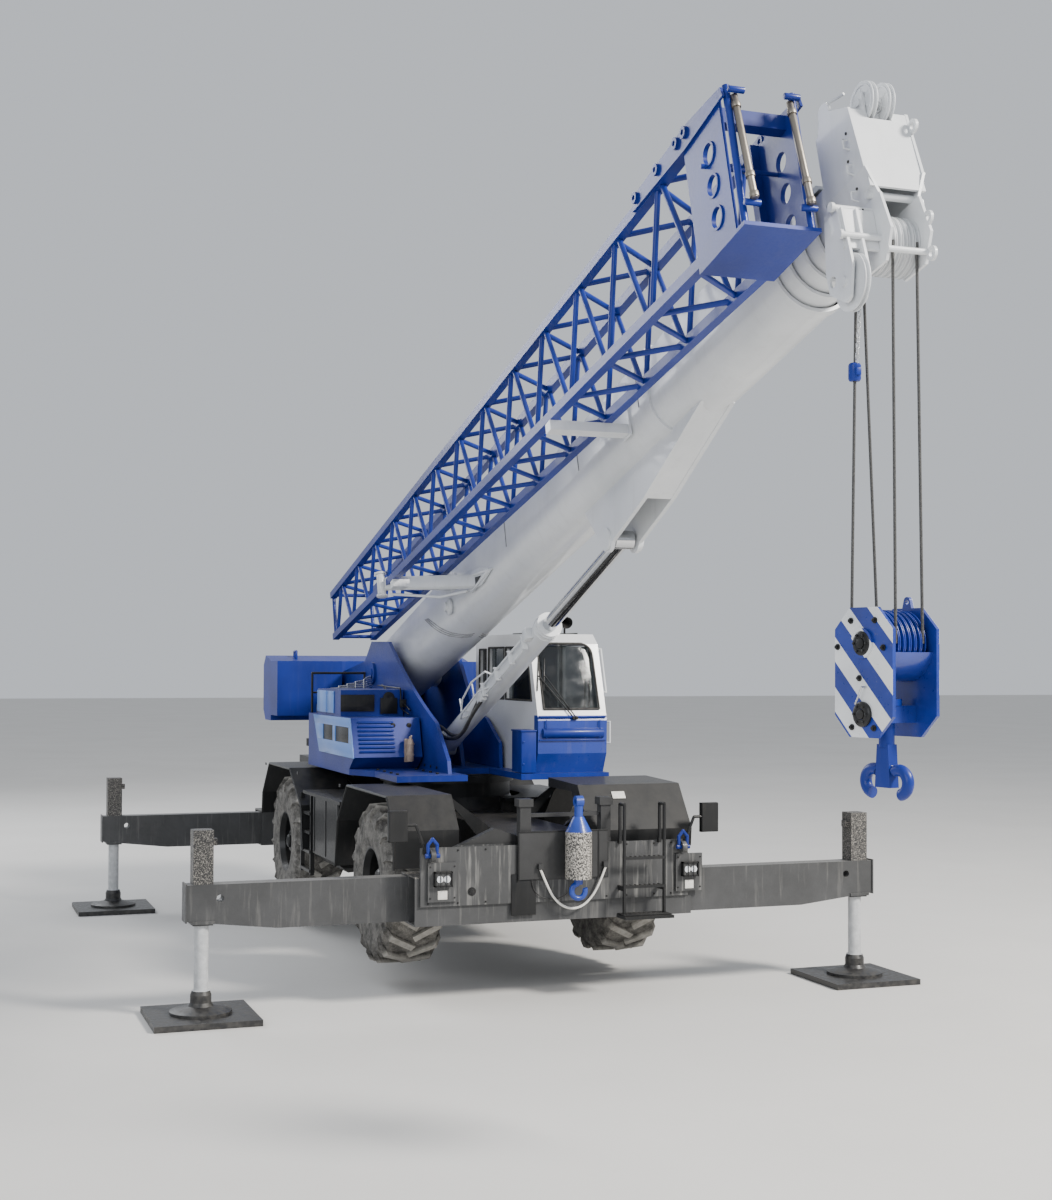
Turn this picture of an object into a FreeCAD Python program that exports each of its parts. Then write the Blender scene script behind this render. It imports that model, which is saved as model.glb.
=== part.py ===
# Mobile crane on four rubber-tyred wheels, standing on its outriggers, boom over the front.
# Millimetres. +X forward, +Y left, +Z up. The origin is on the ground under the slewing axis.
import FreeCAD, Part
import os
from math import atan2, cos, degrees, pi, radians, sin, tan

V = FreeCAD.Vector
os.makedirs("parts", exist_ok=True)

# Driving dimensions: clearances
run_gap = 5.0
seat_gap = 0.3
pin_play = 0.05
rod_play = 0.3

# Driving dimensions: carrier
wheelbase = 4580.0
axle_height = 1110.0
track = 2560.0
kingpin_track = 1870.0
tyre_radius = 880.0
tyre_width = 650.0
tyre_lugs = 18
diff_radius = 215.0
lug_depth = 42.0
rim_radius = 400.0
rim_wall = 22.0
carrier_width = 3300.0
spine_half_width = 430.0
spine_top = 1750.0
spine_low_top = 1450.0
belly_bottom = 950.0
engine_front = -wheelbase / 2 - 310.0
fender_top = 2140.0
fender_plate = 30.0
fender_inner = 940.0
deck_top = 1900.0
ladder_x = (1140.0 - wheelbase / 2, 1690.0 - wheelbase / 2)
ring_radius = 800.0
ring_top = 2180.0

# Driving dimensions: outriggers
front_jack_x = wheelbase / 2 + 1370.0
rear_jack_x = -wheelbase / 2 - 2080.0
beam_spacing = 240.0
beam_width = 210.0
beam_depth = 460.0
beam_end_depth = 360.0
beam_top = 1341.0
beam_length = 3200.0
jack_spread = 7300.0
jack_casing = 200.0
jack_casing_top = 1880.0
jack_rod_radius = 72.0
jack_lift = 300.0
float_radius = 310.0
mat_side = 1050.0
mat_thick = 60.0
housing_half = 1550.0
housing_wall = 18.0
pad_length = 150.0
housing_rib_y = 900.0
housing_rib_height = 120.0

# Driving dimensions: auxiliary hook, stowed at the front
aux_hook_out = 175.0
aux_hook_y = 160.0
aux_eye_z = 2110.0
aux_eye_bore = 25.0

# Driving dimensions: front plates and the tow rope that hangs between them
front_box_y = (-450.0, 550.0)
front_box_z = (1300.0, 1790.0)
front_box_depth = 27.0
lamp_plate_right_y = -1275.0
lamp_plate_left_y = 1500.0
post_right_y = (-410.0, -290.0)
post_left_y = (500.0, 610.0)
post_top = 2110.0
tow_rope_radius = 12.5
tow_rope_x = front_jack_x + 330.0
tow_rope_route = [(-215, 1400), (-150, 1250), (-60, 1085), (75, 985), (235, 985), (370, 1100), (460, 1260),
                  (515, 1400)]

# Driving dimensions: superstructure
plate_inner = 448.0
plate_thick = 45.0
deck_plate_top = 2250.0
cab_floor = deck_plate_top
foot_x = -1800.0
foot_z = 3400.0
foot_pin_radius = 70.0
cylinder_base_x = -50.0
cylinder_base_z = 2490.0
cab_right = 545.0
cab_left = 1420.0
cab_rear = -480.0
cab_roof = 3900.0
cab_drawn_roof = 3900.0
cab_wall = 45.0

# Driving dimensions: boom, in its own s (along), y (left) and n (up) directions
boom_angle = 16.0
base_half_width = 330.0
base_top = 450.0
base_bottom = -360.0
corner_bevel = 60.0
section_step = 30.0
section_wall = 12.0
base_end = 11500.0
section_show = 170.0
section_start = 700.0
head_sheave_s = 12470.0
head_sheave_n = -370.0
head_sheave_radius = 210.0
head_shaft_radius = 55.0
head_half_width = 245.0
head_low_half_width = 168.0
head_plate = 22.0
sheave_count = 6
sheave_pitch = 48.0
sheave_width = 42.0
idler_s = 12590.0
idler_n = 700.0
idler_radius = 160.0
idler_offset = 70.0
idler_shaft_radius = 30.0
nose_s = 12550.0
nose_y = -370.0
nose_n = -720.0
nose_sheave_radius = 200.0
nose_half_width = 58.0
eye_s = 7500.0
eye_n = -760.0
eye_radius = 90.0
bracket_reach = 2250.0
barrel_radius = 125.0
barrel_length = 4000.0
lift_rod_radius = 80.0
jib_inner = 500.0
jib_width = 600.0
jib_start = 300.0
jib_lattice_end = 11750.0
jib_end = 12470.0
jib_tip_high = 1000.0
jib_tip_low = 420.0
jib_root_high = 740.0
jib_root_low = -205.0
jib_bays = 13
chord_size = 84.0
lace_radius = 24.0

# Driving dimensions: hook block
rope_radius = 11.0
groove_depth = 24.0
block_drop = 2530.0
block_height = 900.0
block_length = 580.0
block_width = 434.0
block_plate = 28.0
block_turn = 11.0
block_sheave_radius = 235.0
block_sheave_depth = 250.0
block_shaft_radius = 50.0
block_pitch = 50.0
crosshead_depth = 740.0
crosshead_half = 60.0
shank_radius = 55.0
bowl_offset = 125.0
bowl_radius = 85.0
bowl_bar = 42.0

TILT = FreeCAD.Placement(V(foot_x, 0, foot_z), FreeCAD.Rotation(V(0, 1, 0), -boom_angle))
NODES = {}


def box(x, y, z):
    return Part.makeBox(x[1] - x[0], y[1] - y[0], z[1] - z[0], V(x[0], y[0], z[0]))


def rod(start, end, radius):
    along = V(*end) - V(*start)
    return Part.makeCylinder(radius, along.Length, V(*start), along)


def drum(centre, axis, radius, width):
    middle = V(*centre)
    along = V(*axis)
    along.normalize()
    return Part.makeCylinder(radius, width, middle - along * (width / 2), along)


def outline(points, plane, level=0.0):
    # points: (a, b) for a straight run, (a, b, via_a, via_b) for an arc through the via point
    place = {"xz": lambda a, b: V(a, level, b), "yz": lambda a, b: V(level, a, b), "xy": lambda a,
             b: V(a, b, level)}
    put = place[plane]
    edges = []
    last = put(points[-1][0], points[-1][1])
    for point in points:
        here = put(point[0], point[1])
        if len(point) == 4:
            edges.append(Part.Arc(last, put(point[2], point[3]), here).toShape())
        elif (here - last).Length > 1e-6:
            edges.append(Part.LineSegment(last, here).toShape())
        last = here
    return Part.Face(Part.Wire(edges))


def slab(points, plane, low, high):
    normal = {"xz": V(0, 1, 0), "yz": V(1, 0, 0), "xy": V(0, 0, 1)}[plane]
    return outline(points, plane, low).extrude(normal * (high - low))


def fuse(shapes):
    shapes = list(shapes)
    joined = shapes[0].multiFuse(shapes[1:]) if len(shapes) > 1 else shapes[0]
    return joined.removeSplitter()


def mirrored(shape):
    return shape.mirror(V(0, 0, 0), V(0, 1, 0))


def both_sides(shape):
    return [shape, mirrored(shape)]


def strips(outer, inner, plane, low, high):
    # one solid for each run between two outlines with the same points, so a wall is made of plates
    made = []
    for k, point in enumerate(outer):
        run = [outer[k - 1][:2], point, inner[k][:2], inner[k - 1][:2] + inner[k][2:]]
        made.append(slab(run, plane, low, high))
    return made


def bent_plate(points, thick, low, high):
    # flat plates in the xz plane that meet in mitres along a bent line
    normals = []
    for a, b in zip(points, points[1:]):
        run = V(b[0] - a[0], b[1] - a[1], 0)
        run.normalize()
        normals.append(V(-run.y, run.x, 0))
    back = []
    for point, before, after in zip(points, normals[:1] + normals, normals + normals[-1:]):
        shift = (before + after) * (thick / (1 + before.dot(after)))
        back.append((point[0] + shift.x, point[1] + shift.y))
    return [slab([points[k], points[k + 1], back[k + 1], back[k]], "xz", low, high)
            for k in range(len(normals))]


def on_boom(shape):
    placed = shape.copy()
    placed.Placement = TILT.multiply(placed.Placement)
    return placed


def boom_point(s, y, n):
    return TILT.multVec(V(s, y, n))


def add(name, shape):
    NODES[name] = shape


# Outriggers: two beams lie side by side in each housing, one for each side of the machine.
OUTRIGGERS = []
for end, jack_x in (("front", front_jack_x), ("rear", rear_jack_x)):
    for side_name, side in (("right", -1), ("left", 1)):
        centre_x = jack_x + side * beam_spacing / 2 * (1 if end == "front" else -1)
        OUTRIGGERS.append((end + "_" + side_name, side, centre_x))


def make_beam(side, centre_x):
    outer = jack_spread / 2 + jack_casing / 2 + 60
    inner = outer - beam_length
    kink = outer - 900
    low_inner = beam_top - beam_depth
    low_outer = beam_top - beam_end_depth
    profile = [(side * inner, beam_top), (side * outer, beam_top), (side * outer, low_outer),
               (side * kink, low_inner), (side * inner, low_inner)]
    half = beam_width / 2
    beam = slab(profile, "yz", centre_x - half, centre_x + half)
    jack_y = side * jack_spread / 2
    case = jack_casing / 2
    casing_bottom = low_outer - 45
    casing = box((centre_x - case, centre_x + case), (jack_y - case, jack_y + case),
                 (casing_bottom, jack_casing_top))
    collar = box((centre_x - case - 18, centre_x + case + 18), (jack_y - case - 18, jack_y + case + 18),
                 (low_outer - 30, low_outer))
    plate_y = sorted((side * outer, side * (outer + 16)))
    end_plate = box((centre_x - half - 12, centre_x + half + 12), plate_y, (low_outer - 12, beam_top + 12))
    knob = box((centre_x - 40, centre_x + 40), sorted((jack_y - side * case, jack_y - side * (case + 45))),
               (jack_casing_top - 160, jack_casing_top - 90))
    bore_top = jack_casing_top - 60
    bore = Part.makeCylinder(jack_rod_radius + rod_play, bore_top - casing_bottom + 1,
                             V(centre_x, jack_y, casing_bottom - 1))
    tail = sorted((side * inner, side * (inner + pad_length)))
    tail_pad = box((centre_x - half + 20, centre_x + half - 20), tail, (beam_top, beam_top + run_gap - seat_gap))
    lock_hole = drum((centre_x, side * (outer - 330), beam_top - 140), (1, 0, 0), 38, beam_width + 4)
    return fuse([beam, casing, collar, end_plate, knob, tail_pad]).cut(bore).cut(lock_hole)


def make_jack_foot(side, centre_x):
    jack_y = side * jack_spread / 2
    rod_top = jack_casing_top - 60 - jack_lift - 20
    rod_part = Part.makeCylinder(jack_rod_radius, rod_top - 270, V(centre_x, jack_y, 270))
    # pad profile, turned about the jack: radius, height
    pad_rows = [(0, mat_thick), (float_radius, mat_thick), (float_radius, mat_thick + 30),
                (250, mat_thick + 48),
                (125, mat_thick + 75), (105, mat_thick + 110), (105, 245), (88, 290), (0, 290)]
    pad = outline(pad_rows, "xz").revolve(V(0, 0, 0), V(0, 0, 1), 360)
    pad.translate(V(centre_x, jack_y, 0))
    half = mat_side / 2
    mat = box((centre_x - half, centre_x + half), (jack_y - half, jack_y + half), (0, mat_thick))
    return fuse([rod_part, pad, mat])


def housing_reach():
    half = beam_spacing / 2 + beam_width / 2 + run_gap + housing_wall
    low = beam_top - beam_depth - run_gap - housing_wall
    high = beam_top + run_gap + housing_wall
    return low, high, half


def make_housing(end_name, jack_x):
    low, high, half = housing_reach()
    reach = (-housing_half, housing_half)
    across = (jack_x - half, jack_x + half)
    upright = (low + housing_wall, high - housing_wall)
    # welded from plates, with a middle wall between the two beams
    middle = beam_spacing / 2 - beam_width / 2 - run_gap
    plates = [box(across, reach, (low, low + housing_wall)), box(across, reach, (high - housing_wall, high)),
              box((jack_x - half, jack_x - half + housing_wall), reach, upright),
              box((jack_x + half - housing_wall, jack_x + half), reach, upright),
              box((jack_x - middle, jack_x + middle), reach, upright)]
    for name, side, centre_x in OUTRIGGERS:
        if name.startswith(end_name):
            lane = (centre_x - beam_width / 2, centre_x + beam_width / 2)
            mouth = sorted((side * housing_half, side * (housing_half - pad_length)))
            plates.append(box(lane, mouth, (low + housing_wall, beam_top - beam_depth - seat_gap)))
    for side in (-1, 1):
        plates.append(box(across, (side * housing_rib_y - 15, side * housing_rib_y + 15),
                          (high, high + housing_rib_height)))
    return Part.makeCompound(plates)


def make_carrier():
    _, high, half = housing_reach()
    axle = wheelbase / 2
    side = (-spine_half_width, spine_half_width)
    rear_rail = box((rear_jack_x - half, engine_front - 200), side, (high, spine_low_top))
    front_rail = slab([(engine_front - 200, high), (engine_front - 200, spine_low_top),
                       (engine_front, spine_top), (front_jack_x + half, spine_top),
                       (front_jack_x + half, high)], "xz", *side)
    belly = slab([(axle - 780, high), (axle - 1030, belly_bottom), (1030 - axle, belly_bottom),
                  (780 - axle, high)], "xz", *side)
    ring_seat = Part.makeCone(ring_radius + 120, ring_radius, 150, V(0, 0, spine_top))
    ring = Part.makeCylinder(ring_radius, ring_top - spine_top - 150, V(0, 0, spine_top + 150))
    teeth_band = Part.makeCylinder(ring_radius + 45, 90, V(0, 0, ring_top - 110))
    return Part.makeCompound([rear_rail, front_rail, belly, fuse([ring_seat, ring, teeth_band])])


def make_axles():
    axles = []
    for end in (1, -1):
        x = end * wheelbase / 2
        ear_y = kingpin_track / 2
        tube = rod((x, -ear_y + 120, axle_height), (x, ear_y - 120, axle_height), 115)
        ball = Part.makeSphere(diff_radius, V(x, 0, axle_height))
        pads = [box((x - 120, x + 120), (side * 330 - 70, side * 330 + 70), (axle_height, housing_reach()[1]))
                for side in (-1, 1)]
        fork = []
        for side in (-1, 1):
            back = box((x - 90, x + 90), sorted((side * (ear_y - 190), side * (ear_y - 125))),
                       (axle_height - 205, axle_height + 205))
            for lift in (-1, 1):
                level = sorted((axle_height + lift * 155, axle_height + lift * 205))
                ear = box((x - 90, x + 90), sorted((side * (ear_y - 130), side * ear_y)), level)
                nose = Part.makeCylinder(90, 50, V(x, side * ear_y, level[0]))
                hole = Part.makeCylinder(45 + pin_play, 60, V(x, side * ear_y, level[0] - 5))
                fork.append(ear.fuse(nose).cut(hole))
            fork.append(back)
        link = rod((x - end * 200, -300, axle_height + 120), (x - end * 200, 300, axle_height + 120), 45)
        link_arm = box(sorted((x, x - end * 215)), (-60, 60), (axle_height + 60, axle_height + 180))
        axles.append(fuse([tube, ball, link, link_arm] + pads + fork))
    return Part.makeCompound(axles)


def make_knuckle(x, side):
    y = side * kingpin_track / 2
    body = Part.makeCylinder(95, 300, V(x, y, axle_height - 150))
    pin = Part.makeCylinder(45, 410, V(x, y, axle_height - 205))
    spindle = rod((x, y, axle_height), (x, side * (track / 2 + 90), axle_height), 75)
    return fuse([body, pin, spindle])


def make_rim(x, side):
    half = tyre_width / 2 - 25
    inner = rim_radius - rim_wall - 28
    # rim section, turned about the axle: across, radius
    rows = [(-half, inner + 28), (-half, rim_radius), (-half + 25, rim_radius),
            (-half + 60, rim_radius - 22),
            (half - 60, rim_radius - 22), (half - 25, rim_radius), (half, rim_radius), (half, inner + 28),
            (half - 70, inner), (60, inner), (60, 75 + pin_play), (10, 75 + pin_play), (10,
                                                                                        inner), (-half + 70, inner)]
    rim = outline(rows, "xz").revolve(V(0, 0, 0), V(1, 0, 0), 360)
    hub_rows = [(55, 76), (55, 240), (90, 240), (110, 175), (200, 165), (235, 130), (235, 0), (130, 0),
                (130, 75 + pin_play + 1)]
    hub = outline(hub_rows, "xz").revolve(V(0, 0, 0), V(1, 0, 0), 360)
    wheel = fuse([rim, hub])
    wheel.rotate(V(0, 0, 0), V(0, 0, 1), 90 * side)
    wheel.translate(V(x, side * track / 2, axle_height))
    return wheel


def make_tyre(x, side):
    half = tyre_width / 2
    tread = tyre_radius - lug_depth
    # tyre section: across, radius
    rows = [(-half + 25, rim_radius), (-half + 5, rim_radius + 110), (-half, rim_radius + 260),
            (-half + 12, tread - 85),
            (-half + 70, tread - 14), (0, tread), (half - 70, tread - 14), (half - 12, tread - 85),
            (half, rim_radius + 260), (half - 5, rim_radius + 110), (half - 25, rim_radius)]
    tyre = outline(rows, "xz").revolve(V(0, 0, 0), V(1, 0, 0), 360)
    lugs = []
    pitch = 360.0 / tyre_lugs
    lug_length = half / cos(radians(32)) - 8
    for across in (-1, 1):
        low = tread - 60
        bar = slab([(-20, low), (-20, tyre_radius), (lug_length - 75, tyre_radius - 4),
                    (lug_length - 8, tread - 60),
                    (lug_length - 8, tread - 170), (lug_length - 70, tread - 170)], "xz", -36, 36)
        bar.translate(V(-lug_length / 2, 0, 0))
        bar.rotate(V(0, 0, 0), V(0, 0, 1), 32)
        bar.translate(V(half / 2 + 2, 0, 0))
        if across < 0:
            bar = mirrored(bar)
            bar.rotate(V(0, 0, 0), V(0, 0, 1), 180)
            bar.rotate(V(0, 0, 0), V(1, 0, 0), pitch / 2)
        for step in range(tyre_lugs):
            copy = bar.copy()
            copy.rotate(V(0, 0, 0), V(1, 0, 0), pitch * step)
            lugs.append(copy)
    tyre = tyre.multiFuse(lugs)
    tyre.rotate(V(0, 0, 0), V(0, 0, 1), 90)
    tyre.translate(V(x, side * track / 2, axle_height))
    return tyre


def ring_room(gap):
    return Part.makeCylinder(ring_radius + 120 + gap, ring_top - spine_top, V(0, 0, spine_top))


def make_fenders():
    outer = carrier_width / 2
    axle = wheelbase / 2
    # wheel arches as bent plates: outside points front to rear, in x and z
    arches = [[(axle + 1180, 1400), (axle + 1180, 1790), (axle + 900, fender_top), (axle - 840, fender_top),
               (axle - 1290, 1700), (axle - 1390, 1150)],
              [(-axle + 1390, 1150), (-axle + 1290, 1700), (-axle + 590, fender_top),
               (-axle - 750, fender_top), (-axle - 1210, 1700), (-axle - 1250, 1400)]]
    return [plate for arch in arches for plate in bent_plate(arch, fender_plate, fender_inner, outer)]


def make_deck():
    outer = carrier_width / 2
    axle = wheelbase / 2
    right = make_fenders()
    strip = box((-axle + 1295, axle - 1295), (spine_half_width, outer - 20), (deck_top - 40, deck_top))
    right.append(strip.cut(ring_room(run_gap)))
    for x in (axle - 800, axle + 700, -axle + 500, -axle - 300):
        right.append(slab([(spine_half_width, spine_top - 250), (fender_inner, fender_top - 60),
                           (fender_inner, fender_top - 8), (spine_half_width, spine_top)], "yz", x - 20, x + 20))
    # ladder between the wheels
    posts = [box((x - 20, x + 20), (outer - 80, outer - 30), (850, deck_top - 40)) for x in ladder_x]
    rungs = [box(ladder_x, (outer - 90, outer - 20), (level, level + 35)) for level in (880, 1120, 1360, 1600)]
    right.append(fuse(posts + rungs))
    return Part.makeCompound(right + [mirrored(piece) for piece in right])


def make_tanks():
    outer = carrier_width / 2 - 40
    tank = slab([(spine_half_width, 1150), (outer - 120, 1050), (outer, 1150), (outer, deck_top - 40),
                 (spine_half_width, deck_top - 40)], "yz", ladder_x[1] + 120, wheelbase / 2 - 1410)
    tank = tank.cut(ring_room(run_gap))
    return Part.makeCompound(both_sides(tank))


def make_hood():
    # top, slope and nose of the front cover, set off from the front jacks
    at = front_jack_x
    shapes = [[(at - 1160, fender_top + 5), (at - 450, fender_top + 5), (at - 260, 2225), (at - 1160, 2250)],
              [(at - 450, fender_top + 5), (at - 150, 1800), (at + 80, 1760), (at - 260, 2225)],
              [(at - 150, 1800), (at - 150, 1560), (at + 60, 1560), (at + 80, 1760)]]
    return Part.makeCompound([slab(shape, "xz", spine_half_width + seat_gap, 1640) for shape in shapes])


def make_engine_hood():
    wall = 30.0
    top = 2150.0
    rear_x = rear_jack_x - 260
    step_x, front_x = rear_jack_x + 890, engine_front - 150
    wide, narrow = 880, 520
    plan = [(rear_x, -wide), (step_x, -wide), (step_x, -narrow), (front_x, -narrow), (front_x, narrow),
            (step_x, narrow), (step_x, wide), (rear_x, wide)]
    inner = [(rear_x + wall, wall - wide), (step_x - wall, wall - wide), (step_x - wall, wall - narrow),
             (front_x - wall, wall - narrow), (front_x - wall, narrow - wall), (step_x - wall, narrow - wall),
             (step_x - wall, wide - wall), (rear_x + wall, wide - wall)]
    walls = strips(plan, inner, "xy", spine_low_top, top - wall)
    saddle = box((front_x - 60, front_x + 50), (-spine_half_width, spine_half_width),
                 (spine_low_top - 1, spine_low_top + 90))
    covers = [box((rear_x, step_x), (-wide, wide), (top - wall, top)),
              box((step_x, front_x), (-narrow, narrow), (top - wall, top))]
    intake_x = rear_jack_x + 120
    intake = fuse([Part.makeCylinder(60, 160, V(intake_x, -720, top)),
                   Part.makeCylinder(140, 110, V(intake_x, -720, top + 150))])
    return Part.makeCompound([wall_plate.cut(saddle) for wall_plate in walls] + covers + [intake])


def make_bumper():
    face = front_jack_x + beam_spacing / 2 + beam_width / 2 + run_gap + housing_wall
    plate = box((face, face + 30), (-1500, 1500), (1060, 1660))
    pieces = [plate]
    for side in (-1, 1):
        lug = slab([(face + 30, 1530), (face + 120, 1530), (face + 120, 1650, face + 180, 1590),
                    (face + 30, 1650)],
                   "xz", side * 1400 - 25, side * 1400 + 25)
        hole = drum((face + 115, side * 1400, 1590), (0, 1, 0), 32, 60)
        pieces.append(lug.cut(hole))
    front = face + 30
    box_front = front + front_box_depth
    pieces.append(box((front, box_front), front_box_y, front_box_z))
    for y in (lamp_plate_right_y, lamp_plate_left_y):
        pieces.append(box((front, front + 30), (y - 155, y + 155), (1110, 1510)))
        pieces.append(box((front + 30, front + 70), (y - 75, y + 75), (1280, 1410)))
    # anchors of the tow rope
    for y, z in (tow_rope_route[0], tow_rope_route[-1]):
        pieces.append(box((box_front, tow_rope_x + 20), (y - 25, y + 25), (z + 5, z + 60)))
    # left post, on a foot from the bumper plate
    pieces.append(box((face - 118, face), (post_left_y[0] - 70, post_left_y[1]), (1640, 1700)))
    pieces.append(box((face - 118, face - 8), post_left_y, (1700, post_top)))
    pieces.append(box((face - 90, face - 50), (post_right_y[1], post_left_y[0]), (1935, 1975)))
    # right post, on the front rail, with a capped top like the left one
    pieces.append(box((face - 118, face - 8), post_right_y, (spine_top, post_top)))
    for low, high in (post_right_y, post_left_y):
        pieces.append(box((face - 135, face + 10), (low - 20, high + 20), (post_top - 60, post_top + 20)))
    # sloping strut from the right post's rail down to the housing
    strut = slab([(-spine_half_width, 1640), (-spine_half_width, 1750), (-660, 1825), (-1270, 1560),
                  (-1270, 1440), (-1130, 1440), (-700, 1640)], "yz", face - 200, face - 100)
    foot = box((face - 200, face - 100), (-1260, -1140), (housing_reach()[1], 1440))
    return Part.makeCompound([fuse(pieces), fuse([strut, foot])]), front


def make_tow_rope():
    # straight runs joined by tangent arcs, swept into a limp rope
    points = [V(tow_rope_x, y, z) for y, z in tow_rope_route]
    edges = []
    last = points[0]
    for before, corner, after in zip(points, points[1:], points[2:]):
        back, ahead = before - corner, after - corner
        reach = 0.45 * min(back.Length, ahead.Length)
        turn = pi - back.getAngle(ahead)
        radius = reach / tan(turn / 2)
        start = corner + back * (reach / back.Length)
        end = corner + ahead * (reach / ahead.Length)
        middle = (start + end) * 0.5 - corner
        peak = (radius / cos(turn / 2) - radius) / middle.Length
        edges.append(Part.LineSegment(last, start).toShape())
        edges.append(Part.Arc(start, corner + middle * peak, end).toShape())
        last = end
        print("tow rope bend radius", round(radius), "of at least", 10 * tow_rope_radius)
    edges.append(Part.LineSegment(last, points[-1]).toShape())
    path = Part.Wire(edges)
    ring = Part.Wire(Part.makeCircle(tow_rope_radius, points[0], points[1] - points[0]))
    rope = path.makePipeShell([ring], True, False)
    print("tow rope volume over its length times its section",
          round(rope.Volume / (path.Length * pi * tow_rope_radius ** 2), 4))
    return rope


def make_steps(face):
    pieces = []
    for y in (690, 1150):
        post = fuse([rod((face + 150, y, 1180), (face + 150, y, 2060), 18),
                     rod((face + 30, y, 2060), (face + 150, y, 2060), 18),
                     rod((face + 30, y, 1690), (face + 30, y, 2060), 18)])
        pieces.append(post)
        pieces.append(box((face, face + 168), (y - 12, y + 12), (1150, 1200)))
        pieces.append(box((face, face + 45), (y - 15, y + 15), (1640, 1700)))
    for level in (880, 1180, 1480):
        pieces.append(box((face + 130, face + 170), (678, 1162), (level, level + 30)))
    pieces.append(box((face + 132, face + 168), (678, 702), (880, 1200)))
    pieces.append(box((face + 132, face + 168), (1138, 1162), (880, 1200)))
    pieces.append(box((face + 60, face + 300), (640, 1200), (870, 900)))
    return fuse(pieces)


def make_mirrors(face):
    pieces = []
    for side in (-1, 1):
        y = side * 1560
        pieces.append(rod((face + 18, side * 1455, 1640), (face + 20, y, 1900), 16))
        pieces.append(box((face, face + 30), sorted((side * 1430, side * 1480)), (1600, 1650)))
        pieces.append(rod((face + 20, y, 1900), (face + 20, side * 1660, 1900), 16))
        pieces.append(box((face + 5, face + 45), sorted((side * 1650, side * 1840)), (1740, 2040)))
    return Part.makeCompound([fuse(pieces[:4]), fuse(pieces[4:])])


def make_aux_hook(face):
    x, y = face + aux_hook_out, aux_hook_y
    weight = Part.makeCylinder(140, 490, V(x, y, 1310))
    cap = Part.makeCone(135, 55, 155, V(x, y, 1800))
    neck = Part.makeCylinder(45, 110, V(x, y, 1955))
    eye = drum((x, y, aux_eye_z), (0, 1, 0), 60, 80).cut(drum((x, y, aux_eye_z), (0, 1, 0), aux_eye_bore, 100))
    shank = Part.makeCylinder(45, 60, V(x, y, 1250))
    hook = Part.makeTorus(75, 28, V(x, y, 1180), V(1, 0, 0), 0, 360, 290)
    saddle = box((face + front_box_depth, x - 60), (y - 90, y + 90), (1420, 1560))
    return fuse([weight, cap, neck, eye, shank, hook, saddle])


def make_turntable():
    base_plate = slab([(-2250, -520), (-1800, -1380), (450, -1380), (900, -1180), (1880, -1180),
                       (1880, -330), (700, -330),
                       (700, 330), (1880, 330), (1880, 1440), (-1800, 1440), (-2250,
                                                                              520)], "xy", ring_top + seat_gap,
                      deck_plate_top)
    # side plates: fronts from the deck up to the top, then the tail that both share
    right_front = [(1640, deck_plate_top), (1600, 2400), (1330, 2640), (1110, 2830), (-1030, 3820, 200, 3180)]
    left_front = [(750, deck_plate_top), (720, 2560), (200, 2850), (-350, 2960), (-1150, 3820)]
    tail = [(-1900, 3830), (-2250, 3560), (-3750, 3380), (-3750, 2700), (-2300, 2700),
            (-2200, deck_plate_top)]
    pieces = [base_plate]
    for side in (-1, 1):
        low, high = sorted((side * plate_inner, side * (plate_inner + plate_thick)))
        web = slab((left_front if side > 0 else right_front) + tail, "xz", low, high)
        pieces.append(web.cut(drum((foot_x, (low + high) / 2, foot_z), (0, 1, 0), foot_pin_radius, 80)))
        boss = drum((foot_x, side * (plate_inner + plate_thick + 15), foot_z), (0, 1, 0), 150, 30)
        pieces.append(boss)
    pieces.append(box((-2290, -2230), (-plate_inner, plate_inner), (deck_plate_top, 2900)))
    pieces.append(box((-3750, -2290), (-plate_inner, plate_inner), (2700, 2740)))
    pin = drum((foot_x, 0, foot_z), (0, 1, 0), foot_pin_radius, 2 * (plate_inner + plate_thick + 40))
    pieces.append(pin)
    for side in (-1, 1):
        lug = slab([(-230, deck_plate_top), (230, deck_plate_top), (110, cylinder_base_z + 60),
                    (-110, cylinder_base_z + 60, 0, cylinder_base_z + 125)], "xz",
                   *sorted((side * 125, side * 175)))
        pieces.append(lug)
    pieces.append(drum((cylinder_base_x, 0, cylinder_base_z), (0, 1, 0), 55, 350))
    return fuse(pieces)


def make_counterweight():
    profile = [(-3750, 2700), (-3750, 3560), (-4150, 3640), (-4300, 3500), (-4300, 2850), (-4150, 2700)]
    side_profile = [(-3300, 2780), (-3300, 3560), (-3750, 3560), (-3750, 2780)]
    body = slab(profile, "xz", -1500, 1500)
    wings = both_sides(slab(side_profile, "xz", 560, 1500))
    return Part.makeCompound([body] + wings)


def make_side_housing():
    front = 520
    lower = slab([(-1790, deck_plate_top), (450, deck_plate_top), (front + 160, 2400), (front, 2870), (-1790, 2870)],
                 "xz", -1380, -520)
    upper = box((-1480, -210), (-1330, -520), (2870, 3200))
    left = slab([(-1790, deck_plate_top), (cab_rear - 60, deck_plate_top), (cab_rear - 60, 2900), (-1790, 3100)],
                "xz", 520, 1400)
    return Part.makeCompound([lower, upper, left])


def make_winches():
    pieces = []
    # drum centre x and z, core radius, flange radius
    for x, z, core, flange in ((-2780, 3130, 190, 300), (-3400, 3130, 190, 300)):
        width = 2 * plate_inner
        pieces.append(drum((x, 0, z), (0, 1, 0), core, width - 2 * seat_gap))
        for y in (-plate_inner + 60, plate_inner - 60):
            pieces.append(drum((x, y, z), (0, 1, 0), flange, 30))
    return Part.makeCompound([fuse(pieces[:3]), fuse(pieces[3:])])


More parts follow.
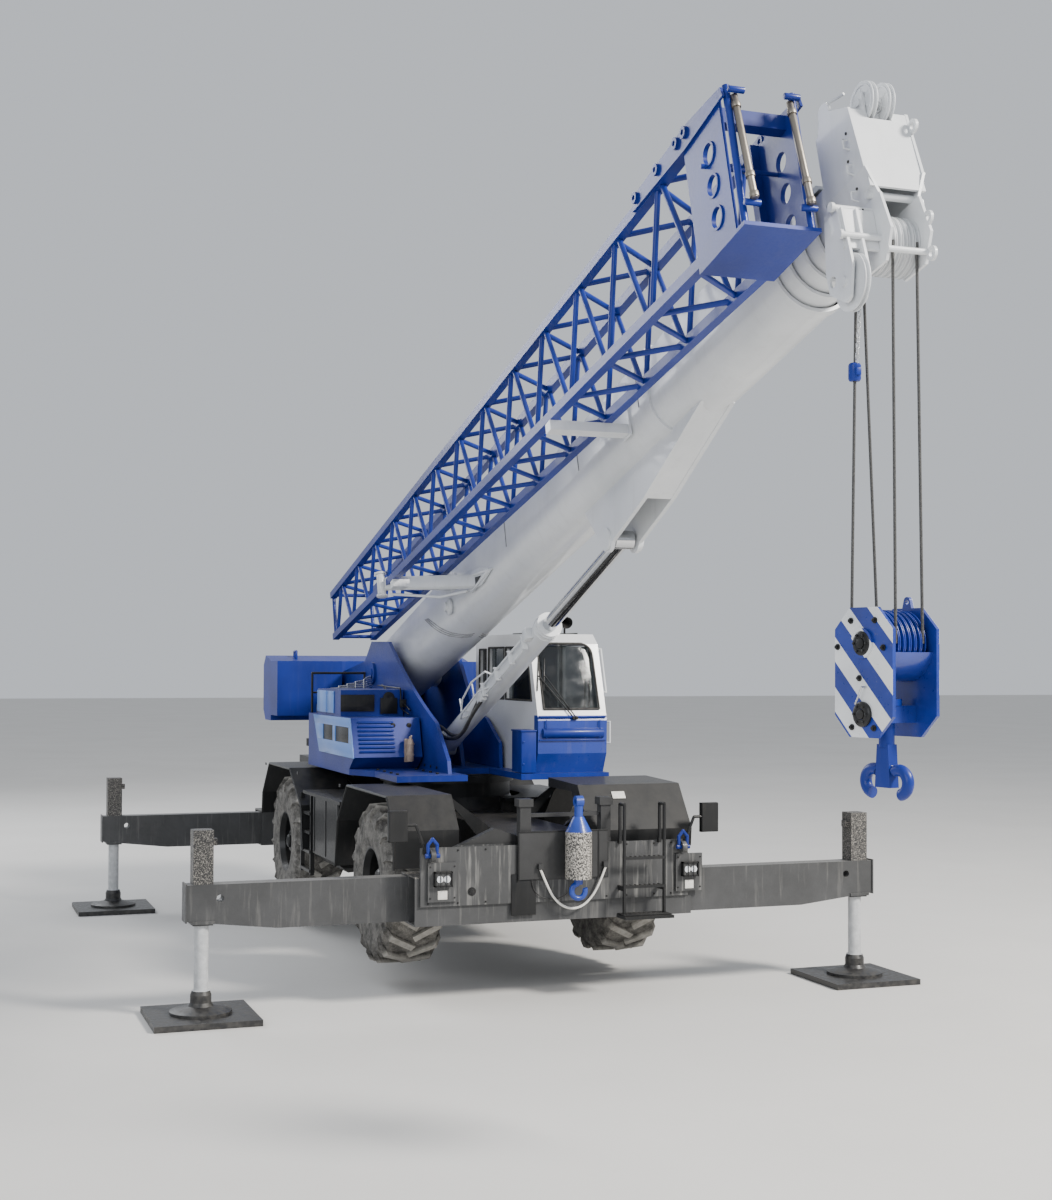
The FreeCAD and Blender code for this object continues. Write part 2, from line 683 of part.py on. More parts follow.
# side windows towards the boom: a fixed pane, then two sliding panes with a post between them
def cab_level(height):
    # the cab's heights are drawn for one roof, and stretch with the roof above the cab floor
    return cab_floor + (height - cab_floor) * (cab_roof - cab_floor) / (cab_drawn_roof - cab_floor)


def cab_side(corners, low, high):
    return slab([(x, cab_level(height)) for x, height in corners], "xz", low, high)


CAB_SIDE_WINDOWS = [[(-330, 3100), (-330, 3720), (-60, 3720), (-60, 3100)],
                    [(40, 3100), (40, 3740), (640, 3740), (640, 3100)],
                    [(700, 3100), (700, 3740), (1470, 3740), (1640, 3100)]]


def cab_outline(inset):
    # cab side outline, x and z, clockwise from the rear bottom; inset moves it inward
    shoulder = cab_level(3780)
    return [(cab_rear + inset, cab_floor + inset), (cab_rear + inset, shoulder - inset),
            (cab_rear + 80 + inset, cab_roof - inset),
            (1400 - inset * 0.6, cab_roof - inset), (1560 - inset, shoulder - inset * 0.5),
            (1830 - inset, cab_level(2960)), (1860 - inset, cab_level(2870)), (1850 - inset, cab_level(2480)),
            (1740 - inset, cab_floor + inset)]


def make_cab():
    outer = slab(cab_outline(0), "xz", cab_right, cab_left)
    inner = slab(cab_outline(cab_wall), "xz", cab_right + cab_wall, cab_left - cab_wall)
    shell = outer.cut(inner)
    left_wall = (cab_left - cab_wall - 10, cab_left + 10)
    left_door = cab_side([(330, 2330), (330, 3800), (1230, 3800), (1230, 2330)], *left_wall)
    right_windows = [cab_side(corners, cab_right - 10, cab_right + cab_wall + 10) for corners in CAB_SIDE_WINDOWS]
    left_front = cab_side([(1290, 2980), (1290, 3790), (1440, 3790), (1690, 3020)], *left_wall)
    sill, head, curve_start, curve_middle = [cab_level(height) for height in (3000, 3790, 3650, 3752)]
    screen = slab([(cab_right + 80, sill), (cab_left - 80, sill), (cab_left - 80, curve_start),
                   (cab_left - 210, head, cab_left - 118, curve_middle),
                   (cab_right + 210, head), (cab_right + 80, curve_start, cab_right + 118, curve_middle)],
                  "yz", 1400, 2000)
    rear_head = cab_level(3740)
    rear = slab([(cab_right + 120, sill), (cab_left - 120, sill), (cab_left - 120, rear_head),
                 (cab_right + 120, rear_head)], "yz", cab_rear - 10, cab_rear + cab_wall + 10)
    roof_hatch = box((550, 1250), (cab_right + 140, cab_left - 140), (cab_roof - 80, cab_roof + 20))
    for opening in [left_door, left_front, screen, rear, roof_hatch] + right_windows:
        shell = shell.cut(opening)
    rails = [box((-480, 1260), (cab_left, cab_left + 55), (z, z + 30)) for z in (cab_floor + 12, cab_level(3850))]
    return fuse([shell, rails[0], rails[1]])


def make_cab_door():
    y = (cab_left + run_gap, cab_left + run_gap + 40)
    panel = box((300, 1260), y, (cab_floor + 42 + seat_gap, cab_level(3850) - seat_gap))
    window = box((380, 1180), (y[0] - 1, y[1] + 1), (cab_level(2950), cab_level(3760)))
    return panel.cut(window)


def make_cab_glass():
    pane = 8.0
    y0, y1 = cab_right + cab_wall, cab_left - cab_wall
    front = cab_side([(1768, 2975), (1776, 2975), (1512, 3750), (1504, 3750)], y0 + seat_gap, y1 - seat_gap)
    right = cab_side([(-380, 3060), (-380, 3790), (1440, 3790), (1655, 3060)], y0 + seat_gap, y0 + pane)
    return Part.makeCompound([front, right])


def make_seat():
    y = (cab_right + cab_left) / 2
    seat_low, seat_top = cab_level(2520), cab_level(2650)
    pieces = [box((450, 950), (y - 180, y + 180), (cab_floor + cab_wall, seat_low)),
              box((420, 980), (y - 260, y + 260), (seat_low, seat_top)),
              cab_side([(420, 2650), (560, 2650), (480, 3350), (360, 3350)], y - 240, y + 240)]
    console = slab([(1350, cab_floor + cab_wall), (1690, cab_floor + cab_wall), (1700, cab_level(2850)),
                    (1500, cab_level(2900)), (1380, cab_level(2600))], "xz", y - 240, y + 240)
    return Part.makeCompound([fuse(pieces), console])


def section_face(index, shrink=0.0):
    # bevelled top corners, upright sides and a half-round underside in four arcs
    half = base_half_width - section_step * index - shrink
    top = base_top - section_step * index - shrink
    centre = base_bottom + base_half_width
    points = [(-half, centre)]
    for k in range(4):
        end, via = radians(225 + 45 * k), radians(202.5 + 45 * k)
        points.append((half * cos(end), centre + half * sin(end), half * cos(via), centre + half * sin(via)))
    return points + [(half, top - corner_bevel), (half - corner_bevel, top), (corner_bevel - half, top),
                     (-half, top - corner_bevel)]


def tube_walls(index, start, end, rings):
    # a boom tube welded from plates; a ring is its start, its end and how far it stands out
    walls = strips(section_face(index), section_face(index, section_wall), "yz", start, end)
    for ring_start, ring_end, lift in rings:
        bands = strips(section_face(index, -lift), section_face(index), "yz", ring_start, ring_end)
        walls = [wall.fuse(band) for wall, band in zip(walls, bands)]
    return [wall.removeSplitter() for wall in walls]


def make_boom_base():
    rings = [(base_end - 120, base_end, 16), (8950, 9150, 22)]
    boss_width = plate_inner - run_gap
    pin_bore = drum((0, 0, 0), (0, 1, 0), foot_pin_radius + pin_play, 2 * boss_width + 20)
    solids = [wall.cut(pin_bore) for wall in tube_walls(0, -150, base_end, rings)]
    taken = Part.makeCompound([slab(section_face(0), "yz", -151, base_end)] +
                              [slab(section_face(0, -lift), "yz", start, end) for start, end, lift in rings])
    bracket = [(eye_s - 520, base_bottom + 120), (eye_s - 110, eye_n - 60),
               (eye_s + 110, eye_n - 60, eye_s, eye_n - 125), (eye_s + bracket_reach * 0.4, base_bottom - 330),
               (eye_s + bracket_reach, base_bottom + 30), (eye_s + bracket_reach, base_bottom + 120)]
    for side in (-1, 1):
        low, high = sorted((side * 120, side * 160))
        disc = drum((eye_s, side * 170, eye_n), (0, 1, 0), 110, 20)
        solids.append(slab(bracket, "xz", low, high).cut(taken).fuse(disc).removeSplitter())
        foot = slab([(-150, -150), (0, -150), (0, 150, 150, 0), (-150, 150)], "xz",
                    *sorted((side * base_half_width, side * boss_width)))
        solids.append(foot.cut(pin_bore))
    floor = slab([(eye_s + bracket_reach * 0.4, base_bottom - 325), (eye_s + bracket_reach, base_bottom + 35),
                  (eye_s + bracket_reach, base_bottom + 75), (eye_s + bracket_reach * 0.4, base_bottom - 285)],
                 "xz", -120, 120)
    solids.append(floor.cut(taken))
    return Part.makeCompound(solids)


def make_sections():
    made = []
    for index in (1, 2, 3, 4):
        end = base_end + section_show * index
        # the tail pads run inside the next larger section
        pad_lift = section_step - section_wall - seat_gap
        rings = [(section_start, section_start + pad_length, pad_lift)]
        if index < 4:
            rings.append((end - 60, end, 14))
        made.append(Part.makeCompound(tube_walls(index, section_start, end, rings)))
    return made


def make_nose():
    # auxiliary nose with its own sheave, carried beside the right cheek
    cheek = [(nose_s - 130, -200), (nose_s + 100, -200), (nose_s + 130, nose_n + 80),
             (nose_s + 50, nose_n - 130), (nose_s - 50, nose_n - 130, nose_s, nose_n - 150),
             (nose_s - 200, nose_n), (nose_s - 210, nose_n + 160)]
    pieces = []
    for side in (-1, 1):
        y = nose_y + side * nose_half_width
        hole = drum((nose_s - 140, y, nose_n + 70), (0, 1, 0), 42, 60)
        pieces.append(slab(cheek, "xz", y - 10, y + 10).cut(hole))
    pieces.append(drum((nose_s, nose_y, nose_n), (0, 1, 0), 35, 2 * nose_half_width + 50))
    pieces.append(box((nose_s + 60, nose_s + 84), (nose_y - 80, nose_y + 200), (-500, -200)))
    for s, n in ((nose_s + 50, -180), (nose_s + 108, -420)):
        pieces.append(drum((s, (nose_y - head_low_half_width - 100) / 2, n), (0, 1, 0), 22, 320))
        pieces.append(drum((s, nose_y - 110, n), (0, 1, 0), 34, 24))
    return pieces


def make_head():
    start = base_end + section_show * 4
    front = head_sheave_s + 265
    wide, narrow = head_half_width, head_low_half_width
    inner = wide - head_plate
    upper = [(start + 30, 100), (start + 30, 640), (head_sheave_s - 210, 740),
             (head_sheave_s - 70, 740, head_sheave_s - 140, 840), (head_sheave_s + 170, 620), (front - 20, 100)]
    lower = [(start + 30, -100), (head_sheave_s - 60, -590), (head_sheave_s + 210, -600),
             (front + 65, -410), (front, -100)]
    pieces = []
    for side in (-1, 1):
        pieces.append(slab(upper, "xz", *sorted((side * inner, side * wide))))
        pieces.append(slab(lower, "xz", *sorted((side * (narrow - head_plate), side * narrow))))
        pieces.append(slab([(side * wide, 100), (side * inner, 100), (side * (narrow - head_plate), -100),
                            (side * narrow, -100)], "yz", start + 30, front - 10))
        pieces.append(slab([(head_sheave_s - 100, 600), (idler_s - 60, idler_n + 50),
                            (idler_s + 60, idler_n + 50, idler_s, idler_n + 85), (head_sheave_s + 172, 600),
                            (head_sheave_s + 150, 500)],
                           "xz", *sorted((side * (idler_offset + 30), side * (idler_offset + 48)))))
    # back plate on the last tube, then the plates between the cheeks
    pieces.append(slab([(-wide, 100), (-wide, 640), (wide, 640), (wide, 100), (narrow, -100), (narrow, -214),
                        (-narrow, -214), (-narrow, -100)], "yz", start, start + 30))
    pieces.append(drum((head_sheave_s + 247, 0, -530), (0, 1, 0), 22, 2 * narrow - 4))
    idler_room = drum((idler_s, 0, idler_n), (0, 1, 0), idler_radius + run_gap, 2 * idler_offset + 55)
    front_plate = slab([(head_sheave_s + 170, 610), (head_sheave_s + 148, 600), (front - 32, -50),
                        (front - 10, -50)], "xz", -inner, inner).cut(idler_room)
    pieces.append(box((start + 30, head_sheave_s - 60), (-inner, inner), (618, 640)).cut(idler_room))
    pieces.append(drum((head_sheave_s, 0, head_sheave_n), (0, 1, 0), head_shaft_radius, 2 * narrow + 60))
    pieces.append(drum((idler_s, 0, idler_n), (0, 1, 0), idler_shaft_radius, 2 * idler_offset + 120))
    pieces.append(drum((head_sheave_s + 170, 0, -75), (0, 1, 0), 28, 2 * narrow + 80))
    for s, y, n in ((head_sheave_s + 225, wide - 11, 490), (front + 50, narrow - 11, -300),
                    (head_sheave_s + 290, narrow - 11, -560)):
        pieces.append(drum((s, y, n), (0, 1, 0), 52, 22).cut(drum((s, y, n), (0, 1, 0), 24, 40)))
    frame = fuse(pieces)
    return Part.makeCompound([frame, front_plate.cut(frame), fuse(make_nose()).cut(frame)])


def sheave(radius, width, groove, bore):
    half = width / 2
    floor = rope_radius + 4
    rows = [(-half, bore), (-half, radius), (-floor, radius), (-floor, radius - groove),
            (floor, radius - groove),
            (floor, radius), (half, radius), (half, bore)]
    return outline(rows, "xz").revolve(V(0, 0, 0), V(1, 0, 0), 360)


def placed_sheave(radius, bore, s, y, n):
    wheel = sheave(radius, sheave_width, groove_depth, bore + seat_gap)
    wheel.rotate(V(0, 0, 0), V(0, 0, 1), 90)
    wheel.translate(V(s, y, n))
    return wheel


def rank(count, pitch):
    # places of a row of pieces about its middle
    return [(slot - (count - 1) / 2) * pitch for slot in range(count)]


def make_head_sheaves():
    made = [placed_sheave(head_sheave_radius, head_shaft_radius, head_sheave_s, y, head_sheave_n)
            for y in rank(sheave_count, sheave_pitch)]
    for y in (-idler_offset, idler_offset):
        made.append(placed_sheave(idler_radius, idler_shaft_radius, idler_s, y, idler_n))
    made.append(placed_sheave(nose_sheave_radius, 35, nose_s, nose_y, nose_n))
    return Part.makeCompound(made)


def chord_middle(s, line):
    # height of a chord's middle at s; the chords run straight from the tip to the root
    share = (s - jib_start) / (jib_lattice_end - jib_start)
    return line[0] + (line[1] - line[0]) * share


def make_jib_lattice():
    half = chord_size / 2
    upper, lower = (jib_tip_high, jib_root_high), (jib_tip_low, jib_root_low)
    inner, outer = -jib_inner - half, -jib_inner - jib_width + half
    corners = [(inner, lower), (inner, upper), (outer, upper), (outer, lower)]
    chords = [slab([(jib_start, line[0] - half), (jib_lattice_end, line[1] - half),
                    (jib_lattice_end, line[1] + half), (jib_start, line[0] + half)], "xz", y - half, y + half)
              for y, line in corners]
    frame = Part.makeCompound(chords)
    bay = (jib_lattice_end - jib_start - 2 * chord_size) / (2 * jib_bays)
    clear = 1.4 * lace_radius
    rods = []
    for index in range(4):
        pair = [corners[index], corners[(index + 1) % 4]]
        if index % 2 == 0:
            pair.reverse()
        for k in range(2 * jib_bays):
            (y0, line0), (y1, line1) = pair if k % 2 == 0 else pair[::-1]
            s0 = jib_start + chord_size + bay * k + clear
            s1 = s0 + bay - 2 * clear
            lace = rod((s0, y0, chord_middle(s0, line0)), (s1, y1, chord_middle(s1, line1)), lace_radius)
            rods.append(lace.cut(frame))
        (y0, line0), (y1, line1) = pair
        tip = jib_start + lace_radius + 4
        rods.append(rod((tip, y0, chord_middle(tip, line0)), (tip, y1, chord_middle(tip, line1)),
                        lace_radius).cut(frame))
    return Part.makeCompound(chords + rods + make_jib_root())


def make_jib_root():
    # base frame: posts, holed side plates, doubler plates with pin bosses, cross members and two tubes
    outer_y = -jib_inner - jib_width
    start = jib_lattice_end
    plate_low, plate_high = jib_root_low - 65, jib_root_high + 20
    post_end = start + 80
    solids = []
    for face, inward in ((outer_y, 1), (-jib_inner, -1)):
        solids.append(box((start, post_end), sorted((face, face + inward * chord_size)),
                          (plate_low, jib_root_high + chord_size / 2)))
        plate = box((post_end, jib_end - 120), sorted((face, face + inward * 24)), (plate_low, plate_high))
        for n in (460, 205, -50):
            plate = plate.cut(drum((post_end + 360 - 70, face, n), (0, 1, 0), 75, 80))
        solids.append(plate)
        doubler = slab([(start - 920, jib_root_high - 5), (start - 860, jib_root_high + 110),
                        (start + 150, jib_root_high + 120), (jib_end - 40, jib_root_high + 60),
                        (jib_end - 20, jib_root_high - 20), (start + 60, jib_root_high - 50)], "xz",
                       *sorted((face - inward * 20, face)))
        for s in (start - 830, start - 420, start - 60, start + 90):
            boss = drum((s, face - inward * 16, jib_root_high + 70), (0, 1, 0), 46, 52)
            doubler = doubler.fuse(boss).cut(drum((s, face, jib_root_high + 70), (0, 1, 0), 22, 200))
        solids.append(doubler.removeSplitter())
        solids.append(rod((jib_end - 60, face + inward * 40, plate_low), (jib_end - 60, face + inward * 40,
                                                                          jib_root_high + 90), 28))
    between = (outer_y + 24, -jib_inner - 24)
    solids.append(box((post_end + 330, post_end + 430), between, (plate_high - 120, plate_high)))
    solids.append(box((start, jib_end), (outer_y, -jib_inner), (plate_low - 30, plate_low)))
    solids.append(rod((start + 40, outer_y + chord_size, plate_low + 60),
                      (start + 40, -jib_inner - chord_size, plate_low + 60), 45))
    return solids


def make_jib_supports():
    # arms on the boom's side wall, with the jib's lower chords on them
    solids = []
    wall = -base_half_width
    for s in (3300, 8600):
        top = chord_middle(s + 60, (jib_tip_low, jib_root_low)) - chord_size / 2 - seat_gap
        solids.append(box((s - 60, s + 60), (-jib_inner - jib_width, wall - 20), (top - 90, top)))
        solids.append(box((s - 90, s + 90), (wall - 20, wall), (top - 110, 300)))
    return Part.makeCompound(solids)


def cylinder_line():
    # length and slope of the lift cylinder, from its base pin to the eye under the boom
    along = boom_point(eye_s, 0, eye_n) - V(cylinder_base_x, 0, cylinder_base_z)
    return along.Length, degrees(atan2(along.z, along.x))


def along_cylinder(shape):
    shape.rotate(V(0, 0, 0), V(0, 1, 0), -cylinder_line()[1])
    shape.translate(V(cylinder_base_x, 0, cylinder_base_z))
    return shape


def make_barrel():
    body = rod((150, 0, 0), (barrel_length, 0, 0), barrel_radius)
    gland = rod((barrel_length - 130, 0, 0), (barrel_length, 0, 0), barrel_radius + 15)
    base_eye = drum((0, 0, 0), (0, 1, 0), 115, 230)
    neck = box((0, 170), (-90, 90), (-95, 95))
    bore = rod((250, 0, 0), (barrel_length + 1, 0, 0), lift_rod_radius + rod_play)
    shape = fuse([body, gland, base_eye, neck]).cut(bore).cut(drum((0, 0, 0), (0, 1, 0), 55 + pin_play, 260))
    return along_cylinder(shape)


def make_lift_rod():
    length = cylinder_line()[0]
    body = rod((1000, 0, 0), (length - 40, 0, 0), lift_rod_radius)
    head = drum((length, 0, 0), (0, 1, 0), eye_radius, 190)
    pin = drum((length, 0, 0), (0, 1, 0), 50, 230)
    return along_cylinder(fuse([body, head, pin]))


def hook_frame():
    # the falls hang plumb below the lower head sheaves' shaft
    return boom_point(head_sheave_s, 0, head_sheave_n)


def hang(solids):
    # turns and moves pieces made about the block's own middle to their place under the head
    centre = hook_frame()
    for solid in solids:
        solid.rotate(V(0, 0, 0), V(0, 0, 1), block_turn)
        solid.translate(V(centre.x, 0, 0))
    return solids


def make_hook_block():
    top = hook_frame().z - block_drop
    low = top - block_height
    half_l, half_w = block_length / 2, block_width / 2
    inner = half_w - block_plate
    cut = 150
    shaft_z, cross_z = top - block_sheave_depth, top - crosshead_depth
    octagon = [(cut - half_l, low), (half_l - cut, low), (half_l, low + cut), (half_l, top - cut),
               (half_l - cut, top), (cut - half_l, top), (-half_l, top - cut), (-half_l, low + cut)]
    solids = []
    for side in (-1, 1):
        flank = [slab(octagon, "xz", *sorted((side * half_w, side * inner)))]
        for level, radius in ((shaft_z, 105), (cross_z, 80)):
            flank.append(drum((0, side * (half_w + 10), level), (0, 1, 0), radius, 20))
        flank = fuse(flank)
        for level, radius in ((shaft_z, block_shaft_radius), (cross_z, 45)):
            flank = flank.cut(drum((0, 0, level), (0, 1, 0), radius + pin_play, block_width + 60))
        solids.append(flank)
    lug = slab([(-45, top), (45, top), (30, top + 55), (-30, top + 55, 0, top + 80)], "xz", inner, half_w)
    solids.append(lug.cut(drum((0, inner, top + 42), (0, 1, 0), 18, 100)))
    solids.append(drum((0, 0, shaft_z), (0, 1, 0), block_shaft_radius, block_width + 20))
    for y in rank(sheave_count, block_pitch):
        wheel = sheave(block_sheave_radius, sheave_width, groove_depth, block_shaft_radius + seat_gap)
        wheel.rotate(V(0, 0, 0), V(0, 0, 1), 90)
        wheel.translate(V(0, y, shaft_z))
        solids.append(wheel)
    guard = drum((0, 0, shaft_z), (0, 1, 0), block_sheave_radius + 32, 2 * inner).cut(
        drum((0, 0, shaft_z), (0, 1, 0), block_sheave_radius + 18, 2 * inner + 10))
    for x in ((-400, 0), (0, 400)):
        solids.append(guard.common(box(x, (-400, 400), (shaft_z - 400, shaft_z - 60))))
    crosshead = fuse([box((-95, 95), (-inner, inner), (cross_z - crosshead_half, cross_z + crosshead_half)),
                      drum((0, 0, cross_z), (0, 1, 0), 45, block_width + 40)])
    solids.append(crosshead.cut(Part.makeCylinder(shank_radius + pin_play, 200, V(0, 0, cross_z - 100))))
    return Part.makeCompound(hang(solids))


def make_ropes():
    centre = hook_frame()
    low_z = centre.z - block_drop - block_sheave_depth
    turn = radians(block_turn)
    reach_top = head_sheave_radius - groove_depth + rope_radius + seat_gap
    reach_low = block_sheave_radius - groove_depth + rope_radius + seat_gap
    tops, lows = rank(sheave_count, sheave_pitch), rank(sheave_count, block_pitch)
    falls = []
    # a fall: front or back of the sheaves, groove at the head, groove in the block
    for side, head_slot, block_slot in ((-1, 0, 0), (-1, 1, 5), (1, 1, 0), (1, 5, 5)):
        across = lows[block_slot]
        start = (centre.x + side * reach_top, tops[head_slot], centre.z)
        end = (centre.x + side * reach_low * cos(turn) - across * sin(turn),
               side * reach_low * sin(turn) + across * cos(turn), low_z)
        falls.append(rod(start, end, rope_radius))
    return Part.makeCompound(falls)


def make_hook():
    top = hook_frame().z - block_drop
    low = top - block_height
    cross_z = top - crosshead_depth
    nut_z = cross_z + crosshead_half + seat_gap
    shank = Part.makeCylinder(shank_radius, nut_z - low + 70, V(0, 0, low - 70))
    nut = fuse([Part.makeCylinder(105, 45, V(0, 0, nut_z)), Part.makeCylinder(60, 40, V(0, 0, nut_z + 45))])
    # one bowl of the double hook: a bent bar round its centre, with a ball at the tip
    bowl_z = low - 310
    bowl = Part.makeTorus(bowl_radius, bowl_bar, V(bowl_offset, 0, bowl_z), V(0, -1, 0), 0, 360, 200)
    bowl.rotate(V(bowl_offset, 0, bowl_z), V(0, 1, 0), -10)
    tip_turn = radians(20)
    tip = Part.makeSphere(bowl_bar, V(bowl_offset + bowl_radius * cos(tip_turn), 0,
                                      bowl_z + bowl_radius * sin(tip_turn)))
    side_bowl = fuse([bowl, tip])
    core = slab([(-shank_radius, low - 50), (shank_radius, low - 50), (75, bowl_z - 40), (-75, bowl_z - 40)],
                "xz", -bowl_bar, bowl_bar)
    shape = fuse([shank, core, nut, side_bowl, side_bowl.mirror(V(0, 0, 0), V(1, 0, 0))])
    return hang([shape])[0]


def build():
    add("carrier_frame", make_carrier())
    add("outrigger_housing_front", make_housing("front", front_jack_x))
    add("outrigger_housing_rear", make_housing("rear", rear_jack_x))
    add("axle_housings", make_axles())
    add("deck_fenders", make_deck())
    add("side_tanks", make_tanks())
    add("front_hood", make_hood())
    add("engine_hood", make_engine_hood())
    add("engine_block", box((rear_jack_x + 320, engine_front - 250), (-380, 380), (spine_low_top, 2080)))
    bumper, face = make_bumper()
    add("front_bumper", bumper)
    add("tow_rope", make_tow_rope())
    add("front_steps", make_steps(face))
    add("mirrors", make_mirrors(face))
    add("auxiliary_hook", make_aux_hook(face))
    for name, side, centre_x in OUTRIGGERS:
        add("outrigger_beam_" + name, make_beam(side, centre_x))
        add("jack_foot_" + name, make_jack_foot(side, centre_x))
    for end_name, end in (("front", 1), ("rear", -1)):
        for side_name, side in (("right", -1), ("left", 1)):
            x = end * wheelbase / 2
            tag = end_name + "_" + side_name
            add("knuckle_" + tag, make_knuckle(x, side))
            add("rim_" + tag, make_rim(x, side))
            add("tyre_" + tag, make_tyre(x, side))
    add("turntable", make_turntable())
    add("counterweight", make_counterweight())
    add("side_housings", make_side_housing())
    add("winches", make_winches())
    add("cab_shell", make_cab())
    add("cab_door", make_cab_door())
    add("cab_glass", make_cab_glass())
    add("cab_seat", make_seat())
    add("boom_base", on_boom(make_boom_base()))
    for index, shape in enumerate(make_sections()):
        add("boom_section_%d" % (index + 2), on_boom(shape))
    add("boom_head", on_boom(make_head()))
    add("head_sheaves", on_boom(make_head_sheaves()))
    add("jib_lattice", on_boom(make_jib_lattice()))
    add("jib_supports", on_boom(make_jib_supports()))
    add("lift_barrel", make_barrel())
    add("lift_rod", make_lift_rod())
    add("hook_block", make_hook_block())
    add("hoist_ropes", make_ropes())
    add("double_hook", make_hook())


build()
for name, shape in NODES.items():
    shape.exportStep("parts/%s.step" % name)
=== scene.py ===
# %% [markdown]
# A mobile crane stands on its outriggers with its boom raised over the front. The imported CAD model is
# loaded first and stays as it is: everything below either gives its nodes a finish or adds what a maker
# would bolt, hang or paint on it. The places that several pieces share are named here: the wheels' axles, the foot and
# angle of the boom and of the lift barrel, and where the hook block hangs and how far it is turned about its ropes.

# %% Load the frame
from math import cos, pi, radians, sin

import bmesh
import bpy
from mathutils import Matrix, Vector


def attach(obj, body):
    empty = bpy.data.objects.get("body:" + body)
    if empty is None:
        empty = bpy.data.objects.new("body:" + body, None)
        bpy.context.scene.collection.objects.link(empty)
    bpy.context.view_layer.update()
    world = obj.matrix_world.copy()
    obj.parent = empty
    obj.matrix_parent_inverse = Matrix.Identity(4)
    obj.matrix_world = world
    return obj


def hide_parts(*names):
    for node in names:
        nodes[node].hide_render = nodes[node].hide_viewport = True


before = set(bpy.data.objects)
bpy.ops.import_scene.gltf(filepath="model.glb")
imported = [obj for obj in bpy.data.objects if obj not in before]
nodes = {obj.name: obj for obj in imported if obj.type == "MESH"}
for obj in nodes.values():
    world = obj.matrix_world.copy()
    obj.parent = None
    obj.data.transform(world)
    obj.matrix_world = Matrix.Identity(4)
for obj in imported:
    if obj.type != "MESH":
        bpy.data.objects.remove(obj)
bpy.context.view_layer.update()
wheel_x, axle_z = 2.29, 1.11
boom_foot, boom_angle = (-1.8, 0.0, 3.4), radians(16.0)
barrel_foot, barrel_angle = (-0.05, 0.0, 2.49), radians(21.62)
block_x, block_turn = 10.289, radians(11.0)

# %% [markdown]
# The camera stands where the photographer stood, low at the right front. Its place, turn and focal length were
# worked out from the jacks, wheels and boom, so the render lies over the photograph. The horizon is straight, so
# the turn is only yaw and a little pitch and roll.

# %% Camera
camera_place = Vector((20.489, -6.384, 3.568))
yaw, pitch, roll = 2.793, 0.024, 0.004
focal_px, frame_height_px, centre_below_px = 1687.02, 1200, 20.87
forward = Vector((cos(pitch) * cos(yaw), cos(pitch) * sin(yaw), sin(pitch)))
level_right = Vector((sin(yaw), -cos(yaw), 0.0))
level_up = level_right.cross(forward)
right = level_right * cos(roll) + level_up * sin(roll)
up = level_up * cos(roll) - level_right * sin(roll)
camera_data = bpy.data.cameras.new("photographer")
camera_data.sensor_fit = "VERTICAL"
camera_data.sensor_height = 36.0
camera_data.lens = focal_px / frame_height_px * 36.0
camera_data.shift_y = centre_below_px / frame_height_px
camera_data.clip_end = 400.0
camera = bpy.data.objects.new("photographer", camera_data)
bpy.context.scene.collection.objects.link(camera)
turn = Matrix((right, up, -forward)).transposed().to_4x4()
camera.matrix_world = Matrix.Translation(camera_place) @ turn
bpy.context.scene.camera = camera
print("lens", round(camera_data.lens, 2))

# %% [markdown]
# A pale floor and a few large soft lamps make a studio. One lamp is warmer and stronger, high behind the left
# shoulder of the machine as the sun is outdoors, and a wide weak one fills from the camera's side.

# %% Floor and lights
def look_at(thing, place, target):
    away = Vector(place) - Vector(target)
    thing.matrix_world = Matrix.Translation(Vector(place)) @ away.to_track_quat("Z", "Y").to_matrix().to_4x4()


def soft_lamp(name, place, target, size, power, colour):
    lamp = bpy.data.lights.new(name, "AREA")
    lamp.shape = "DISK"
    lamp.size = size
    lamp.energy = power
    lamp.color = colour
    holder = bpy.data.objects.new(name, lamp)
    bpy.context.scene.collection.objects.link(holder)
    look_at(holder, place, target)


floor_mesh = bmesh.new()
bmesh.ops.create_grid(floor_mesh, x_segments=1, y_segments=1, size=140.0)
floor_data = bpy.data.meshes.new("floor")
floor_mesh.to_mesh(floor_data)
floor_mesh.free()
floor = bpy.data.objects.new("floor", floor_data)
bpy.context.scene.collection.objects.link(floor)
floor.location.z = -0.002
soft_lamp("sun_side", (22.0, 15.0, 20.0), (3.0, 0.0, 3.0), 6.0, 15000.0, (1.0, 0.96, 0.9))
soft_lamp("camera_fill", (24.0, -20.0, 12.0), (4.0, 0.0, 3.0), 16.0, 2500.0, (0.93, 0.96, 1.0))
soft_lamp("rear_fill", (-18.0, -10.0, 14.0), (0.0, 0.0, 3.0), 12.0, 2600.0, (0.95, 0.97, 1.0))
world = bpy.data.worlds.new("studio")
bpy.context.scene.world = world
world.use_nodes = True
world.node_tree.nodes["Background"].inputs["Color"].default_value = (0.83, 0.87, 0.93, 1.0)
world.node_tree.nodes["Background"].inputs["Strength"].default_value = 0.75

# %% [markdown]
# Every finish is built from the same few blocks: a Principled shader, noise read from Object coordinates so that it
# stays on the piece, colour ramps that turn noise into patches, and a bump. Dust settles on faces that look up, so
# the up part of the surface direction is one more mask.

